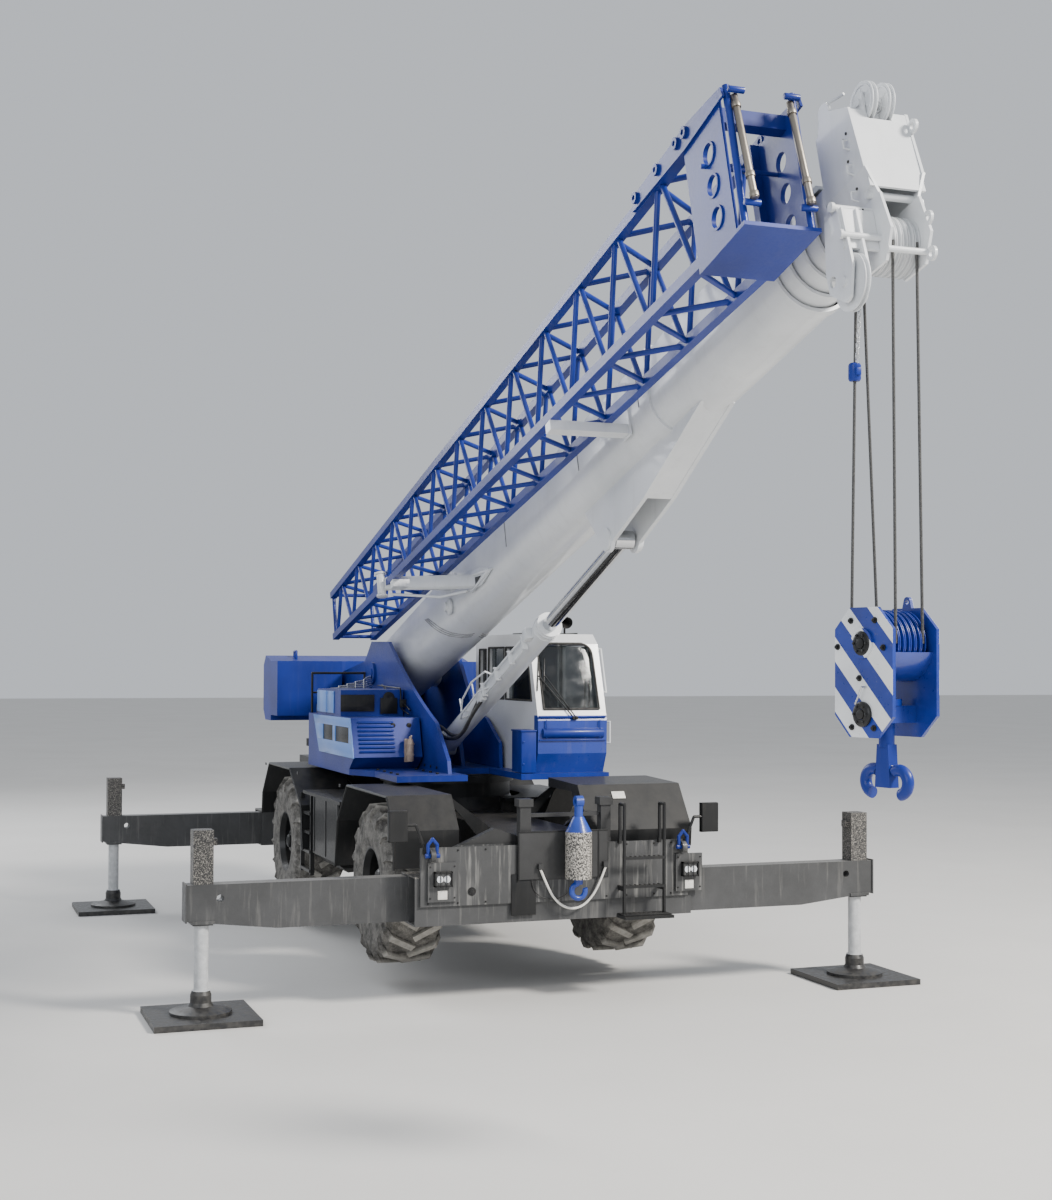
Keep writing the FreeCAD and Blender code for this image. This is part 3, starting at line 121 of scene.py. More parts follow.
# %% Blocks for finishes
class Finish:
    def __init__(self, name, metal=0.0, coat=0.0, sheen=0.0, specular=0.5):
        self.material = bpy.data.materials.new(name)
        self.material.use_nodes = True
        self.tree = self.material.node_tree
        self.shader = self.tree.nodes["Principled BSDF"]
        for key, value in (("Metallic", metal), ("Coat Weight", coat), ("Coat Roughness", 0.12),
                           ("Sheen Weight", sheen), ("Specular IOR Level", specular)):
            self.shader.inputs[key].default_value = value
        self.place = self.add("ShaderNodeTexCoord")

    def add(self, kind, inputs=None, **settings):
        node = self.tree.nodes.new(kind)
        for key, value in settings.items():
            setattr(node, key, value)
        for key, value in (inputs or {}).items():
            node.inputs[key].default_value = value
        return node

    def link(self, source, target):
        self.tree.links.new(source, target)

    def stretched(self, scale, move=(0, 0, 0)):
        mapping = self.add("ShaderNodeMapping", {"Scale": scale, "Location": move})
        self.link(self.place.outputs["Object"], mapping.inputs["Vector"])
        return mapping.outputs["Vector"]

    def noise(self, size, detail=5.0, rough=0.6, stretch=(1, 1, 1), move=(0, 0, 0)):
        node = self.add("ShaderNodeTexNoise", {"Scale": 1.0 / size, "Detail": detail, "Roughness": rough})
        self.link(self.stretched(stretch, move), node.inputs["Vector"])
        return node.outputs["Fac"]

    def ramp(self, source, low, high, start=0.0, end=1.0):
        node = self.add("ShaderNodeMapRange", {"From Min": low, "From Max": high, "To Min": start, "To Max": end})
        self.link(source, node.inputs["Value"])
        return node.outputs["Result"]

    def patches(self, noise, low, high, start=0.0, end=1.0):
        return self.ramp(self.noise(*noise), low, high, start, end)

    def sums(self, operation, first, second=0.0):
        node = self.add("ShaderNodeMath", operation=operation)
        for slot, value in zip(node.inputs, (first, second)):
            if isinstance(value, (int, float)):
                slot.default_value = value
            else:
                self.link(value, slot)
        return node.outputs["Value"]

    def mix(self, mask, first, second):
        node = self.add("ShaderNodeMix", data_type="RGBA")
        sockets = (node.inputs["Factor"], node.inputs[6], node.inputs[7])
        for slot, value in zip(sockets, (mask, first, second)):
            if isinstance(value, tuple):
                slot.default_value = value + (1.0,)
            elif isinstance(value, float):
                slot.default_value = value
            else:
                self.link(value, slot)
        return node.outputs[2]

    def facing_up(self):
        split = self.add("ShaderNodeSeparateXYZ")
        self.link(self.place.outputs["Normal"], split.inputs["Vector"])
        return self.ramp(split.outputs["Z"], 0.35, 0.95)

    def place_of(self, axis):
        split = self.add("ShaderNodeSeparateXYZ")
        self.link(self.place.outputs["Object"], split.inputs["Vector"])
        return split.outputs[axis]

    def colour(self, value):
        self.link(value, self.shader.inputs["Base Color"])

    def rough(self, value):
        self.link(value, self.shader.inputs["Roughness"])

    def worn(self, noise, smooth, coarse):
        self.rough(self.patches(noise, 0.3, 0.7, smooth, coarse))

    def bump(self, height, strength, distance):
        node = self.add("ShaderNodeBump", {"Strength": strength, "Distance": distance})
        self.link(height, node.inputs["Height"])
        self.link(node.outputs["Normal"], self.shader.inputs["Normal"])


print("finish blocks ready")

# %% [markdown]
# Machine enamel is never one colour: it fades in broad clouds, it holds fine orange peel, and fine dust lies on its
# upward faces and in streaks below edges. One function makes each enamel from a deep and a light tone, so blue,
# white, black and grey parts share the same dirt.

# %% Enamel paints
def enamel(name, deep, light, dust, dust_amount, shine, coat):
    paint = Finish(name, coat=coat, specular=0.28)
    clouds = paint.patches((0.9, 3.0), 0.35, 0.7)
    body = paint.mix(clouds, deep, light)
    streaks = paint.patches((0.09, 6.0, 0.65, (1, 1, 0.12)), 0.52, 0.78, 0.0, 0.5)
    settled = paint.sums("MULTIPLY", paint.facing_up(), paint.patches((0.16, 6.0), 0.3, 0.62))
    dirt = paint.sums("MULTIPLY", paint.sums("MAXIMUM", streaks, settled), dust_amount)
    paint.colour(paint.mix(dirt, body, dust))
    fine = paint.noise(0.02, 4.0)
    paint.rough(paint.sums("ADD", paint.ramp(fine, 0.3, 0.7, shine, shine + 0.12), paint.sums("MULTIPLY", dirt, 0.45)))
    paint.bump(paint.noise(0.006, 2.0), 0.08, 0.0006)
    return paint.material


dry_dust = (0.42, 0.38, 0.32)
blue_paint = enamel("cobalt_enamel", (0.004, 0.018, 0.17), (0.007, 0.03, 0.27), dry_dust, 0.08, 0.34, 0.12)
white_paint = enamel("boom_white_enamel", (0.62, 0.64, 0.66), (0.74, 0.755, 0.77), (0.33, 0.31, 0.28), 0.3, 0.3, 0.4)
black_paint = enamel("carrier_black_enamel", (0.007, 0.0075, 0.008), (0.015, 0.0155, 0.0165), dry_dust, 0.07,
                     0.38, 0.12)
light_blue = enamel("light_blue_enamel", (0.1, 0.24, 0.62), (0.14, 0.3, 0.72), dry_dust, 0.2, 0.3, 0.4)
print("enamels", [m.name for m in (blue_paint, white_paint, black_paint, light_blue)])

# %% [markdown]
# The outriggers show dusty rain marks: pale runs hang from the upper edges of the beams. A noise squeezed in width
# and long in height gives the runs. Above the beams the square jack casings are spattered like granite, so a fine
# cell pattern takes over there, chosen by height.

# %% Outrigger finish
def outrigger_enamel():
    paint = Finish("outrigger_grey", coat=0.1)
    clouds = paint.patches((0.5, 4.0), 0.35, 0.7)
    body = paint.mix(clouds, (0.036, 0.037, 0.038), (0.058, 0.059, 0.061))
    runs = paint.patches((0.05, 6.0, 0.6, (1, 1, 0.08)), 0.55, 0.8, 0.0, 0.3)
    settled = paint.sums("MULTIPLY", paint.facing_up(), 0.35)
    dirt = paint.sums("MAXIMUM", runs, settled)
    beam_colour = paint.mix(dirt, body, (0.3, 0.29, 0.27))
    spots = paint.add("ShaderNodeTexVoronoi", {"Scale": 60.0})
    paint.link(paint.stretched((1, 1, 1)), spots.inputs["Vector"])
    pale_spots = paint.patches((0.012, 3.0, 0.7), 0.5, 0.6)
    speckle = paint.mix(pale_spots, (0.018, 0.018, 0.019), (0.24, 0.225, 0.2))
    on_casing = paint.sums("GREATER_THAN", paint.place_of("Z"), 1.345)
    paint.colour(paint.mix(on_casing, beam_colour, speckle))
    paint.worn((0.05, 5.0), 0.42, 0.68)
    paint.bump(spots.outputs["Distance"], 0.12, 0.002)
    return paint.material


outrigger_paint = outrigger_enamel()


def bumper_enamel():
    # streaked below, clean and dark on the box and posts above
    paint = Finish("bumper_enamel", coat=0.1)
    clouds = paint.patches((0.5, 4.0), 0.35, 0.7)
    low = paint.mix(clouds, (0.034, 0.035, 0.036), (0.06, 0.061, 0.063))
    runs = paint.patches((0.045, 6.0, 0.6, (1, 1, 0.07)), 0.52, 0.76, 0.0, 0.7)
    low = paint.mix(runs, low, (0.27, 0.265, 0.25))
    high = paint.mix(clouds, (0.014, 0.0145, 0.015), (0.028, 0.0285, 0.03))
    off_middle = paint.sums("ABSOLUTE", paint.sums("SUBTRACT", paint.place_of("Y"), 0.05))
    middle = paint.sums("LESS_THAN", off_middle, 0.52)
    above = paint.sums("GREATER_THAN", paint.place_of("Z"), 1.285)
    dark = paint.sums("MULTIPLY", middle, above)
    posts = paint.sums("GREATER_THAN", paint.place_of("Z"), 1.665)
    paint.colour(paint.mix(paint.sums("MAXIMUM", dark, posts), low, high))
    paint.worn((0.05, 5.0), 0.42, 0.65)
    paint.bump(paint.noise(0.008, 3.0), 0.1, 0.0008)
    return paint.material


bumper_paint = bumper_enamel()
print("outrigger finish", outrigger_paint.name)

# %% [markdown]
# The spare hook's weight hangs in front of the box: a blue cap and hook, and between them a cylinder with the same
# granite-like spatter. One finish picks by height.

# %% Finish of the spare hook
def spare_hook_finish():
    paint = Finish("spare_hook", coat=0.2)
    blue = paint.mix(paint.patches((0.2, 3.0), 0.35, 0.7), (0.008, 0.035, 0.25), (0.014, 0.055, 0.38))
    pale = paint.patches((0.014, 3.0, 0.7), 0.47, 0.56)
    spatter = paint.mix(pale, (0.02, 0.02, 0.021), (0.5, 0.47, 0.42))
    level = paint.place_of("Z")
    inside = paint.sums("MULTIPLY", paint.sums("GREATER_THAN", level, 1.31), paint.sums("LESS_THAN", level, 1.798))
    paint.colour(paint.mix(inside, blue, spatter))
    paint.worn((0.03, 5.0), 0.3, 0.55)
    paint.bump(pale, 0.15, 0.002)
    return paint.material


weight_paint = spare_hook_finish()
print("spare hook finish", weight_paint.name)

# %% [markdown]
# The tyres are covered with dried pale mud on the tread and less of it on the walls, with darker rubber showing
# through in scuffs. The distance from the axle isn't needed: noise at two sizes gives a dry, broken crust.

# %% Tyre rubber under dust
def dusty_tyre():
    rubber = Finish("dusty_tyre", specular=0.3)
    crust = rubber.patches((0.11, 8.0, 0.7), 0.36, 0.6)
    grains = rubber.patches((0.02, 6.0), 0.35, 0.7)
    dust = rubber.mix(grains, (0.13, 0.124, 0.113), (0.24, 0.23, 0.212))
    wall = rubber.mix(crust, (0.05, 0.048, 0.045), dust)
    along = rubber.sums("SUBTRACT", rubber.sums("ABSOLUTE", rubber.place_of("X")), wheel_x)
    height = rubber.sums("SUBTRACT", rubber.place_of("Z"), axle_z)
    square = rubber.sums("ADD", rubber.sums("MULTIPLY", along, along), rubber.sums("MULTIPLY", height, height))
    lug_face = rubber.ramp(rubber.sums("SQRT", square), 0.835, 0.87)
    rubber.colour(rubber.mix(lug_face, wall, rubber.mix(crust, (0.22, 0.21, 0.19), (0.36, 0.345, 0.315))))
    rubber.rough(rubber.ramp(grains, 0.0, 1.0, 0.78, 0.96))
    rubber.bump(rubber.noise(0.01, 5.0), 0.15, 0.0012)
    return rubber.material


tyre_rubber = dusty_tyre()
print("tyre finish", tyre_rubber.name)

# %% [markdown]
# Hard chrome on the lift rod is bright with faint rings of wiping, the jack rods are a duller plated grey, and wire
# rope and pads are dark. Glass is tinted and the seat cloth is a plain dark weave.

# %% Chrome, plated steel, rope, glass, cloth and rubber
def bare_metal(name, colour, low, high, size, stretch):
    steel = Finish(name, metal=1.0)
    tint = steel.mix(steel.patches((size, 4.0, 0.6, stretch), 0.3, 0.7), colour,
                     tuple(c * 0.82 for c in colour))
    steel.colour(tint)
    steel.worn((size * 0.5, 5.0, 0.6, stretch), low, high)
    return steel.material


chrome = bare_metal("lift_rod_chrome", (0.62, 0.63, 0.65), 0.06, 0.16, 0.05, (1, 1, 1))
plated = bare_metal("jack_rod_plated", (0.66, 0.67, 0.68), 0.28, 0.42, 0.04, (1, 1, 0.2))


def plain_finish(name, dark, light, size, low, high, specular=0.5, bump=0.2):
    stuff = Finish(name, specular=specular)
    stuff.colour(stuff.mix(stuff.patches((size, 5.0), 0.35, 0.65), dark, light))
    stuff.worn((size * 0.4, 4.0), low, high)
    stuff.bump(stuff.noise(size * 0.3, 4.0), bump, 0.002)
    return stuff.material


wire_rope = plain_finish("greased_wire_rope", (0.02, 0.02, 0.02), (0.08, 0.078, 0.075), 0.01, 0.4, 0.6)
pad_rubber = plain_finish("ground_pad", (0.018, 0.018, 0.019), (0.06, 0.057, 0.052), 0.05, 0.7, 0.95)
rope_white = plain_finish("braided_white_rope", (0.62, 0.6, 0.55), (0.82, 0.81, 0.77), 0.012, 0.75, 0.95, 0.3, 0.5)
hose_rubber = plain_finish("hose_rubber", (0.012, 0.012, 0.013), (0.035, 0.034, 0.033), 0.03, 0.4, 0.6)
blank_white = plain_finish("blank_plate_white", (0.62, 0.6, 0.55), (0.74, 0.73, 0.7), 0.05, 0.4, 0.6)
lamp_glass = plain_finish("lamp_lens", (0.55, 0.57, 0.6), (0.8, 0.82, 0.85), 0.02, 0.08, 0.2)
mirror_face = bare_metal("mirror_face", (0.55, 0.58, 0.6), 0.03, 0.08, 0.1, (1, 1, 1))
bottle_red = plain_finish("dull_red", (0.22, 0.03, 0.02), (0.3, 0.045, 0.03), 0.05, 0.3, 0.45)
bottle_cream = plain_finish("bottle_cream", (0.3, 0.22, 0.17), (0.42, 0.33, 0.26), 0.05, 0.35, 0.5)
seam_grey = plain_finish("seam_grey", (0.2, 0.2, 0.21), (0.3, 0.3, 0.31), 0.05, 0.5, 0.7)
rod_brown = bare_metal("worn_rod", (0.3, 0.27, 0.23), 0.35, 0.55, 0.06, (1, 1, 0.2))


def cab_enamel():
    # white above the belt; blue on the front apron below the screen
    paint = Finish("cab_enamel", coat=0.4)
    clouds = paint.patches((0.9, 3.0), 0.35, 0.7)
    white = paint.mix(clouds, (0.66, 0.675, 0.69), (0.76, 0.77, 0.78))
    blue = paint.mix(clouds, (0.006, 0.028, 0.24), (0.01, 0.042, 0.34))
    in_front = paint.sums("GREATER_THAN", paint.place_of("X"), 1.72)
    low = paint.sums("LESS_THAN", paint.place_of("Z"), 2.93)
    body = paint.mix(paint.sums("MULTIPLY", in_front, low), white, blue)
    streaks = paint.patches((0.07, 6.0, 0.65, (1, 1, 0.1)), 0.56, 0.8, 0.0, 0.12)
    paint.colour(paint.mix(streaks, body, (0.3, 0.28, 0.25)))
    paint.worn((0.02, 4.0), 0.26, 0.4)
    paint.bump(paint.noise(0.006, 2.0), 0.08, 0.0006)
    return paint.material


def foot_finish():
    # a grey plated rod on a black float and mat
    paint = Finish("jack_foot", specular=0.5)
    scuffs = paint.patches((0.06, 6.0), 0.4, 0.7)
    rod_colour = paint.mix(scuffs, (0.42, 0.43, 0.44), (0.55, 0.56, 0.57))
    pad_colour = paint.mix(scuffs, (0.018, 0.018, 0.019), (0.06, 0.057, 0.052))
    low = paint.sums("LESS_THAN", paint.place_of("Z"), 0.285)
    paint.colour(paint.mix(low, rod_colour, pad_colour))
    paint.rough(paint.ramp(scuffs, 0.0, 1.0, 0.35, 0.6))
    paint.bump(paint.noise(0.02, 4.0), 0.15, 0.0015)
    return paint.material


cab_white = cab_enamel()
jack_finish = foot_finish()
engine_iron = plain_finish("engine_iron", (0.03, 0.03, 0.03), (0.09, 0.085, 0.08), 0.08, 0.5, 0.75)


def tinted_glass():
    glass = Finish("cab_glass")
    glass.colour(glass.mix(glass.patches((0.3, 3.0), 0.3, 0.7), (0.06, 0.068, 0.074), (0.09, 0.1, 0.106)))
    glass.rough(glass.patches((0.15, 5.0), 0.4, 0.8, 0.02, 0.09))
    glass.shader.inputs["Transmission Weight"].default_value = 0.85
    glass.shader.inputs["IOR"].default_value = 1.3
    return glass.material


def seat_weave():
    cloth = Finish("seat_weave", sheen=0.3, specular=0.3)
    threads = cloth.add("ShaderNodeTexWave", {"Scale": 120.0}, wave_type="BANDS", bands_direction="DIAGONAL")
    cloth.link(cloth.place.outputs["Object"], threads.inputs["Vector"])
    cloth.colour(cloth.mix(threads.outputs["Fac"], (0.02, 0.02, 0.024), (0.06, 0.06, 0.068)))
    cloth.worn((0.05,), 0.8, 0.95)
    cloth.bump(threads.outputs["Fac"], 0.3, 0.001)
    return cloth.material


cab_glass = tinted_glass()
seat_cloth = seat_weave()
print("bare finishes ready")

# %% [markdown]
# Most of what follows is small steelwork, so a few helpers wrap the bmesh operators: a block is create_cube scaled
# and moved, a bar is create_cone between two points, a plate is a face pushed out by extrude_face_region, and a spun
# part is a half section turned by spin with its seam merged. Each helper adds to one bmesh, so a piece can be built
# from several of them, and finish_piece bevels its hard edges so that they catch the light as real steel does.

# %% Shapes from bmesh operators
boom_place = Matrix.Translation(boom_foot) @ Matrix.Rotation(-boom_angle, 4, "Y")
barrel_place = Matrix.Translation(barrel_foot) @ Matrix.Rotation(-barrel_angle, 4, "Y")
block_place = Matrix.Translation((block_x, 0.0, 0.0)) @ Matrix.Rotation(block_turn, 4, "Z")


def block(shape, low, high):
    made = bmesh.ops.create_cube(shape, size=1.0)["verts"]
    bmesh.ops.scale(shape, vec=[b - a for a, b in zip(low, high)], verts=made)
    bmesh.ops.translate(shape, vec=[(a + b) / 2 for a, b in zip(low, high)], verts=made)


def bar(shape, start, end, radius, sides=12, end_radius=None):
    run = Vector(end) - Vector(start)
    place = Matrix.Translation((Vector(start) + Vector(end)) / 2) @ run.to_track_quat("Z", "Y").to_matrix().to_4x4()
    bmesh.ops.create_cone(shape, cap_ends=True, segments=sides, radius1=radius, radius2=end_radius or radius,
                          depth=run.length, matrix=place)


def plate(shape, corners, push):
    face = shape.faces.new([shape.verts.new(c) for c in corners])
    pushed = bmesh.ops.extrude_face_region(shape, geom=[face])
    moved = [v for v in pushed["geom"] if isinstance(v, bmesh.types.BMVert)]
    bmesh.ops.translate(shape, vec=push, verts=moved)


def spun(shape, section, centre, axis, steps=24):
    # section: (along the axis, radius) pairs of a closed outline
    turned = bmesh.new()
    ring = [turned.verts.new((radius, 0.0, along)) for along, radius in section]
    edges = [turned.edges.new((ring[k - 1], ring[k])) for k in range(len(ring))]
    bmesh.ops.spin(turned, geom=ring + edges, cent=(0, 0, 0), axis=(0, 0, 1), angle=2 * pi, steps=steps,
                   use_merge=True)
    bmesh.ops.remove_doubles(turned, verts=turned.verts[:], dist=1e-4)
    place = Matrix.Translation(Vector(centre)) @ Vector(axis).to_track_quat("Z", "Y").to_matrix().to_4x4()
    bmesh.ops.transform(turned, matrix=place, verts=turned.verts[:])
    mesh = bpy.data.meshes.new("turned")
    turned.to_mesh(mesh)
    turned.free()
    shape.from_mesh(mesh)
    bpy.data.meshes.remove(mesh)


def rail(shape, points, radius, sides=10):
    for start, end in zip(points, points[1:]):
        bar(shape, start, end, radius, sides)
    for point in points[1:-1]:
        bmesh.ops.create_icosphere(shape, subdivisions=2, radius=radius, matrix=Matrix.Translation(Vector(point)))


def finish_piece(name, shape, body, material, bevel=0.0, place=None):
    if bevel:
        hard = [e for e in shape.edges if len(e.link_faces) == 2 and e.calc_face_angle(0.0) > radians(40)]
        bmesh.ops.bevel(shape, geom=hard, offset=bevel, offset_type="OFFSET", segments=2, profile=0.5,
                        affect="EDGES", material=-1, clamp_overlap=True)
    bmesh.ops.recalc_face_normals(shape, faces=shape.faces)
    if place:
        bmesh.ops.transform(shape, matrix=place, verts=shape.verts)
    mesh = bpy.data.meshes.new(name)
    shape.to_mesh(mesh)
    shape.free()
    for polygon in mesh.polygons:
        polygon.use_smooth = True
    mesh.set_sharp_from_angle(angle=radians(35))
    piece = bpy.data.objects.new(name, mesh)
    bpy.context.scene.collection.objects.link(piece)
    piece.data.materials.append(material)
    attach(piece, body)
    print(name, len(mesh.polygons), "faces")
    return piece


# %% [markdown]
# A white tow rope hangs in a loop between two anchors on the front, and a thin black lead and two hydraulic hoses
# hang near it and beside the lift cylinder. Each is a single smooth NURBS curve with a round bevel. The rope's
# control points are the route of its CAD solid.

# %% Ropes, lead and hoses
def hanging_line(name, route, radius, body, material):
    curve = bpy.data.curves.new(name, "CURVE")
    curve.dimensions = "3D"
    curve.bevel_depth = radius
    curve.bevel_resolution = 4
    curve.use_fill_caps = True
    curve.resolution_u = 12
    line = curve.splines.new("NURBS")
    line.points.add(len(route) - 1)
    for point, place in zip(line.points, route):
        point.co = (*place, 1.0)
    line.order_u = 3
    line.use_endpoint_u = True
    cord = bpy.data.objects.new(name, curve)
    bpy.context.scene.collection.objects.link(cord)
    cord.data.materials.append(material)
    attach(cord, body)
    return cord


def line_length(cord):
    thin = cord.data.copy()
    thin.bevel_depth = 0.0
    holder = bpy.data.objects.new("length", thin)
    bpy.context.scene.collection.objects.link(holder)
    mesh = bpy.data.meshes.new_from_object(holder.evaluated_get(bpy.context.evaluated_depsgraph_get()))
    places = [v.co for v in mesh.vertices]
    total = sum((b - a).length for a, b in zip(places, places[1:]))
    bpy.data.objects.remove(holder)
    bpy.data.meshes.remove(mesh)
    return total


tow_route = [(3.99, y, z) for y, z in ((-0.215, 1.4), (-0.15, 1.25), (-0.06, 1.085), (0.075, 0.985), (0.235, 0.985),
                                       (0.37, 1.1), (0.46, 1.26), (0.515, 1.4))]
tow_rope = hanging_line("tow_rope_line", tow_route, 0.0125, "carrier", rope_white)
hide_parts("tow_rope")
round(line_length(tow_rope), 3)

lead_route = [(3.955, -0.3, 1.3), (3.955, -0.295, 1.22), (3.955, -0.23, 1.13), (3.955, -0.11, 1.08),
              (3.97, 0.0, 1.09), (4.02, 0.07, 1.14), (4.085, 0.1, 1.2)]
hook_lead = hanging_line("hook_lead", lead_route, 0.006, "carrier", hose_rubber)
round(line_length(hook_lead), 3)

# %% [markdown]
# The hook block is a pair of thick cheek plates with sheaves between them. Its plates carry broad diagonal warning
# stripes in blue and white: painted bands, so they are made in the finish from height plus distance along the plate.
# The block is turned a little about the ropes, so the stripes follow its own directions.

# %% Striped finish and block fittings
def striped_enamel():
    paint = Finish("block_stripes", coat=0.45)
    turned = paint.add("ShaderNodeMapping", {
        "Location": (-block_x * cos(block_turn), block_x * sin(block_turn), 0.0), "Rotation": (0.0, 0.0, -block_turn)})
    paint.link(paint.place.outputs["Object"], turned.inputs["Vector"])
    split = paint.add("ShaderNodeSeparateXYZ")
    paint.link(turned.outputs["Vector"], split.inputs["Vector"])
    rising = paint.sums("DIVIDE", paint.sums("SUBTRACT", paint.sums("ADD", split.outputs["X"], split.outputs["Z"]),
                                             3.459), 0.352)
    inside_white = paint.sums("GREATER_THAN", paint.sums("FRACT", rising), 0.51)
    off_centre = paint.sums("ABSOLUTE", split.outputs["Y"])
    on_plate = paint.sums("GREATER_THAN", off_centre, 0.2155)
    striped = paint.sums("MULTIPLY", inside_white, on_plate)
    clouds = paint.patches((0.4, 3.0), 0.35, 0.7)
    blue = paint.mix(clouds, (0.005, 0.022, 0.2), (0.009, 0.036, 0.31))
    white = paint.mix(clouds, (0.66, 0.68, 0.7), (0.78, 0.79, 0.8))
    scuffs = paint.patches((0.03, 7.0, 0.7), 0.62, 0.75, 0.0, 0.5)
    paint.colour(paint.mix(scuffs, paint.mix(striped, blue, white), (0.2, 0.18, 0.16)))
    paint.worn((0.05, 5.0), 0.25, 0.45)
    paint.bump(paint.noise(0.006, 2.0), 0.08, 0.0006)
    return paint.material


block_stripes = striped_enamel()
fittings = bmesh.new()
for side in (-1, 1):
    for height in (3.702, 3.212):
        spun(fittings, ((0.0, 0.088), (0.018, 0.088), (0.03, 0.07), (0.03, 0.04), (0.0, 0.04)),
             (0.0, side * 0.2175, height), (0, side, 0), 32)
        bar(fittings, (0.0, side * 0.215, height), (0.0, side * 0.252, height), 0.036, 20)
        for angle in range(6):
            reach = 0.062
            x, z = reach * cos(radians(60 * angle)), height + reach * sin(radians(60 * angle))
            bar(fittings, (x, side * 0.24, z), (x, side * 0.256, z), 0.011, 6)
    for x, z in ((-0.257, 3.678), (0.203, 3.672), (-0.035, 3.461), (-0.12, 3.86), (0.12, 3.86), (-0.11, 3.12),
                 (0.11, 3.12)):
        bar(fittings, (x, side * 0.215, z), (x, side * 0.228, z), 0.022, 16)
        bar(fittings, (x, side * 0.228, z), (x, side * 0.242, z), 0.014, 6)
finish_piece("block_fittings", fittings, "hook_block", black_paint, 0.0015, block_place)

handle = bmesh.new()
for side in (-1, 1):
    y0, y1 = side * 0.217, side * 0.262
    rail(handle, ((-0.03, y0, 3.285), (-0.03, y1, 3.285), (0.005, y1, 3.345), (0.03, y1, 3.4), (0.03, y0, 3.4)), 0.007)
finish_piece("block_handles", handle, "hook_block", plated, place=block_place)
print("stripes ready")

# %% [markdown]
# A ramshorn hook has two horns, and on each a spring latch that keeps a sling in. A latch is a bent strip hinged on
# the shank. The nut and cross-head above the shank are dark.

# %% Hook latches and anti-two-block switch
latches = bmesh.new()
for side in (-1, 1):
    plate(latches, [(side * 0.05, -0.022, 2.86), (side * 0.05, 0.022, 2.86), (side * 0.245, 0.016, 2.755),
                    (side * 0.245, -0.016, 2.755)], (0, 0, 0.006))
    bar(latches, (side * 0.05, -0.034, 2.86), (side * 0.05, 0.034, 2.86), 0.012, 12)
switch_weight, chain = bmesh.new(), bmesh.new()
fall_x, fall_y = 10.092, -0.136
spun(switch_weight, ((0.0, 0.014), (0.0, 0.036), (0.015, 0.045), (0.115, 0.045), (0.13, 0.034), (0.13, 0.014)),
     (fall_x, fall_y, 5.56), (0, 0, 1), 24)
block(switch_weight, (fall_x + 0.03, fall_y - 0.02, 5.6), (fall_x + 0.06, fall_y + 0.02, 5.65))
for k in range(11):
    z = 5.7 + 0.036 * k
    x = fall_x + 0.03 + 0.004 * k
    wide, thin = ((0.011, 0.0), (0.0, 0.011))[k % 2]
    rail(chain, ((x - wide, fall_y - thin, z - 0.014), (x - wide, fall_y - thin, z + 0.014),
                 (x, fall_y, z + 0.023), (x + wide, fall_y + thin, z + 0.014),
                 (x + wide, fall_y + thin, z - 0.014), (x, fall_y, z - 0.023),
                 (x - wide, fall_y - thin, z - 0.014)), 0.0045, 6)
finish_piece("switch_weight", switch_weight, "hook_block", blue_paint, 0.002)
finish_piece("switch_chain", chain, "hook_block", plated)
finish_piece("hook_latches", latches, "double_hook", plated, 0.001, block_place)

# %% [markdown]
# The front bumper carries the road lamps in dark bezels with guard bars, blank registration plates below them, blue
# towing links through the lugs, mirror glass and rubber-edged frames. A real lamp is a dish behind a lens, so each is
# spun from a half section.

# %% Front lamps, plates, links and mirrors
bezels, lenses, blanks, links, mirror_glass = (bmesh.new() for _ in range(5))
for y in (-1.275, 1.5):
    for z0, z1 in ((1.268, 1.284), (1.406, 1.422)):
        block(bezels, (3.966, y - 0.095, z0), (4.022, y + 0.095, z1))
    for y0 in (y - 0.095, y + 0.079):
        block(bezels, (3.966, y0, 1.268), (4.022, y0 + 0.016, 1.422))
    for y0 in (y - 0.034, y + 0.03):
        bar(bezels, (4.024, y0, 1.262), (4.024, y0, 1.428), 0.005, 8)
    for side in (-1, 1):
        spun(lenses, ((0.0, 0.0005), (0.012, 0.0005), (0.008, 0.034), (0.0, 0.036)), (4.008, y + side * 0.038, 1.345),
             (1, 0, 0), 24)
    block(blanks, (3.968, y - 0.05, 1.135), (3.974, y + 0.05, 1.225))
    for dy in (-0.13, 0.13):
        for z in (1.15, 1.47):
            bar(bezels, (3.965, y + dy, z), (3.976, y + dy, z), 0.009, 6)
for side in (-1, 1):
    lug_y = side * 1.4
    rail(links, ((4.025, lug_y - 0.045, 1.59), (4.025, lug_y - 0.05, 1.7), (4.025, lug_y, 1.76),
                 (4.025, lug_y + 0.05, 1.7), (4.025, lug_y + 0.045, 1.59)), 0.018)
    bar(links, (4.025, lug_y - 0.075, 1.59), (4.025, lug_y + 0.075, 1.59), 0.024, 16)
    mirror_y = side * 1.745
    block(mirror_glass, (3.953, mirror_y - 0.08, 1.76), (3.957, mirror_y + 0.08, 2.02))
    for y0 in (mirror_y - 0.1, mirror_y + 0.084):
        block(bezels, (3.913, y0, 1.735), (3.965, y0 + 0.016, 2.045))
    for z0 in (1.732, 2.032):
        block(bezels, (3.913, mirror_y - 0.1, z0), (3.965, mirror_y + 0.1, z0 + 0.016))
finish_piece("front_bezels", bezels, "carrier", black_paint, 0.003)
finish_piece("front_lamps", lenses, "carrier", lamp_glass)
finish_piece("front_blank_plates", blanks, "carrier", blank_white, 0.001)
finish_piece("towing_links", links, "carrier", blue_paint)
finish_piece("mirror_glass", mirror_glass, "carrier", mirror_face, 0.001)

# %% [markdown]
# The front box and the deep beam housing are flanged plates, so they get edge strips, a round drain boss, bolts and
# a plain plate, and the step ladder gets a slatted tread. On the hood slope sits a small blank plate on two screws.

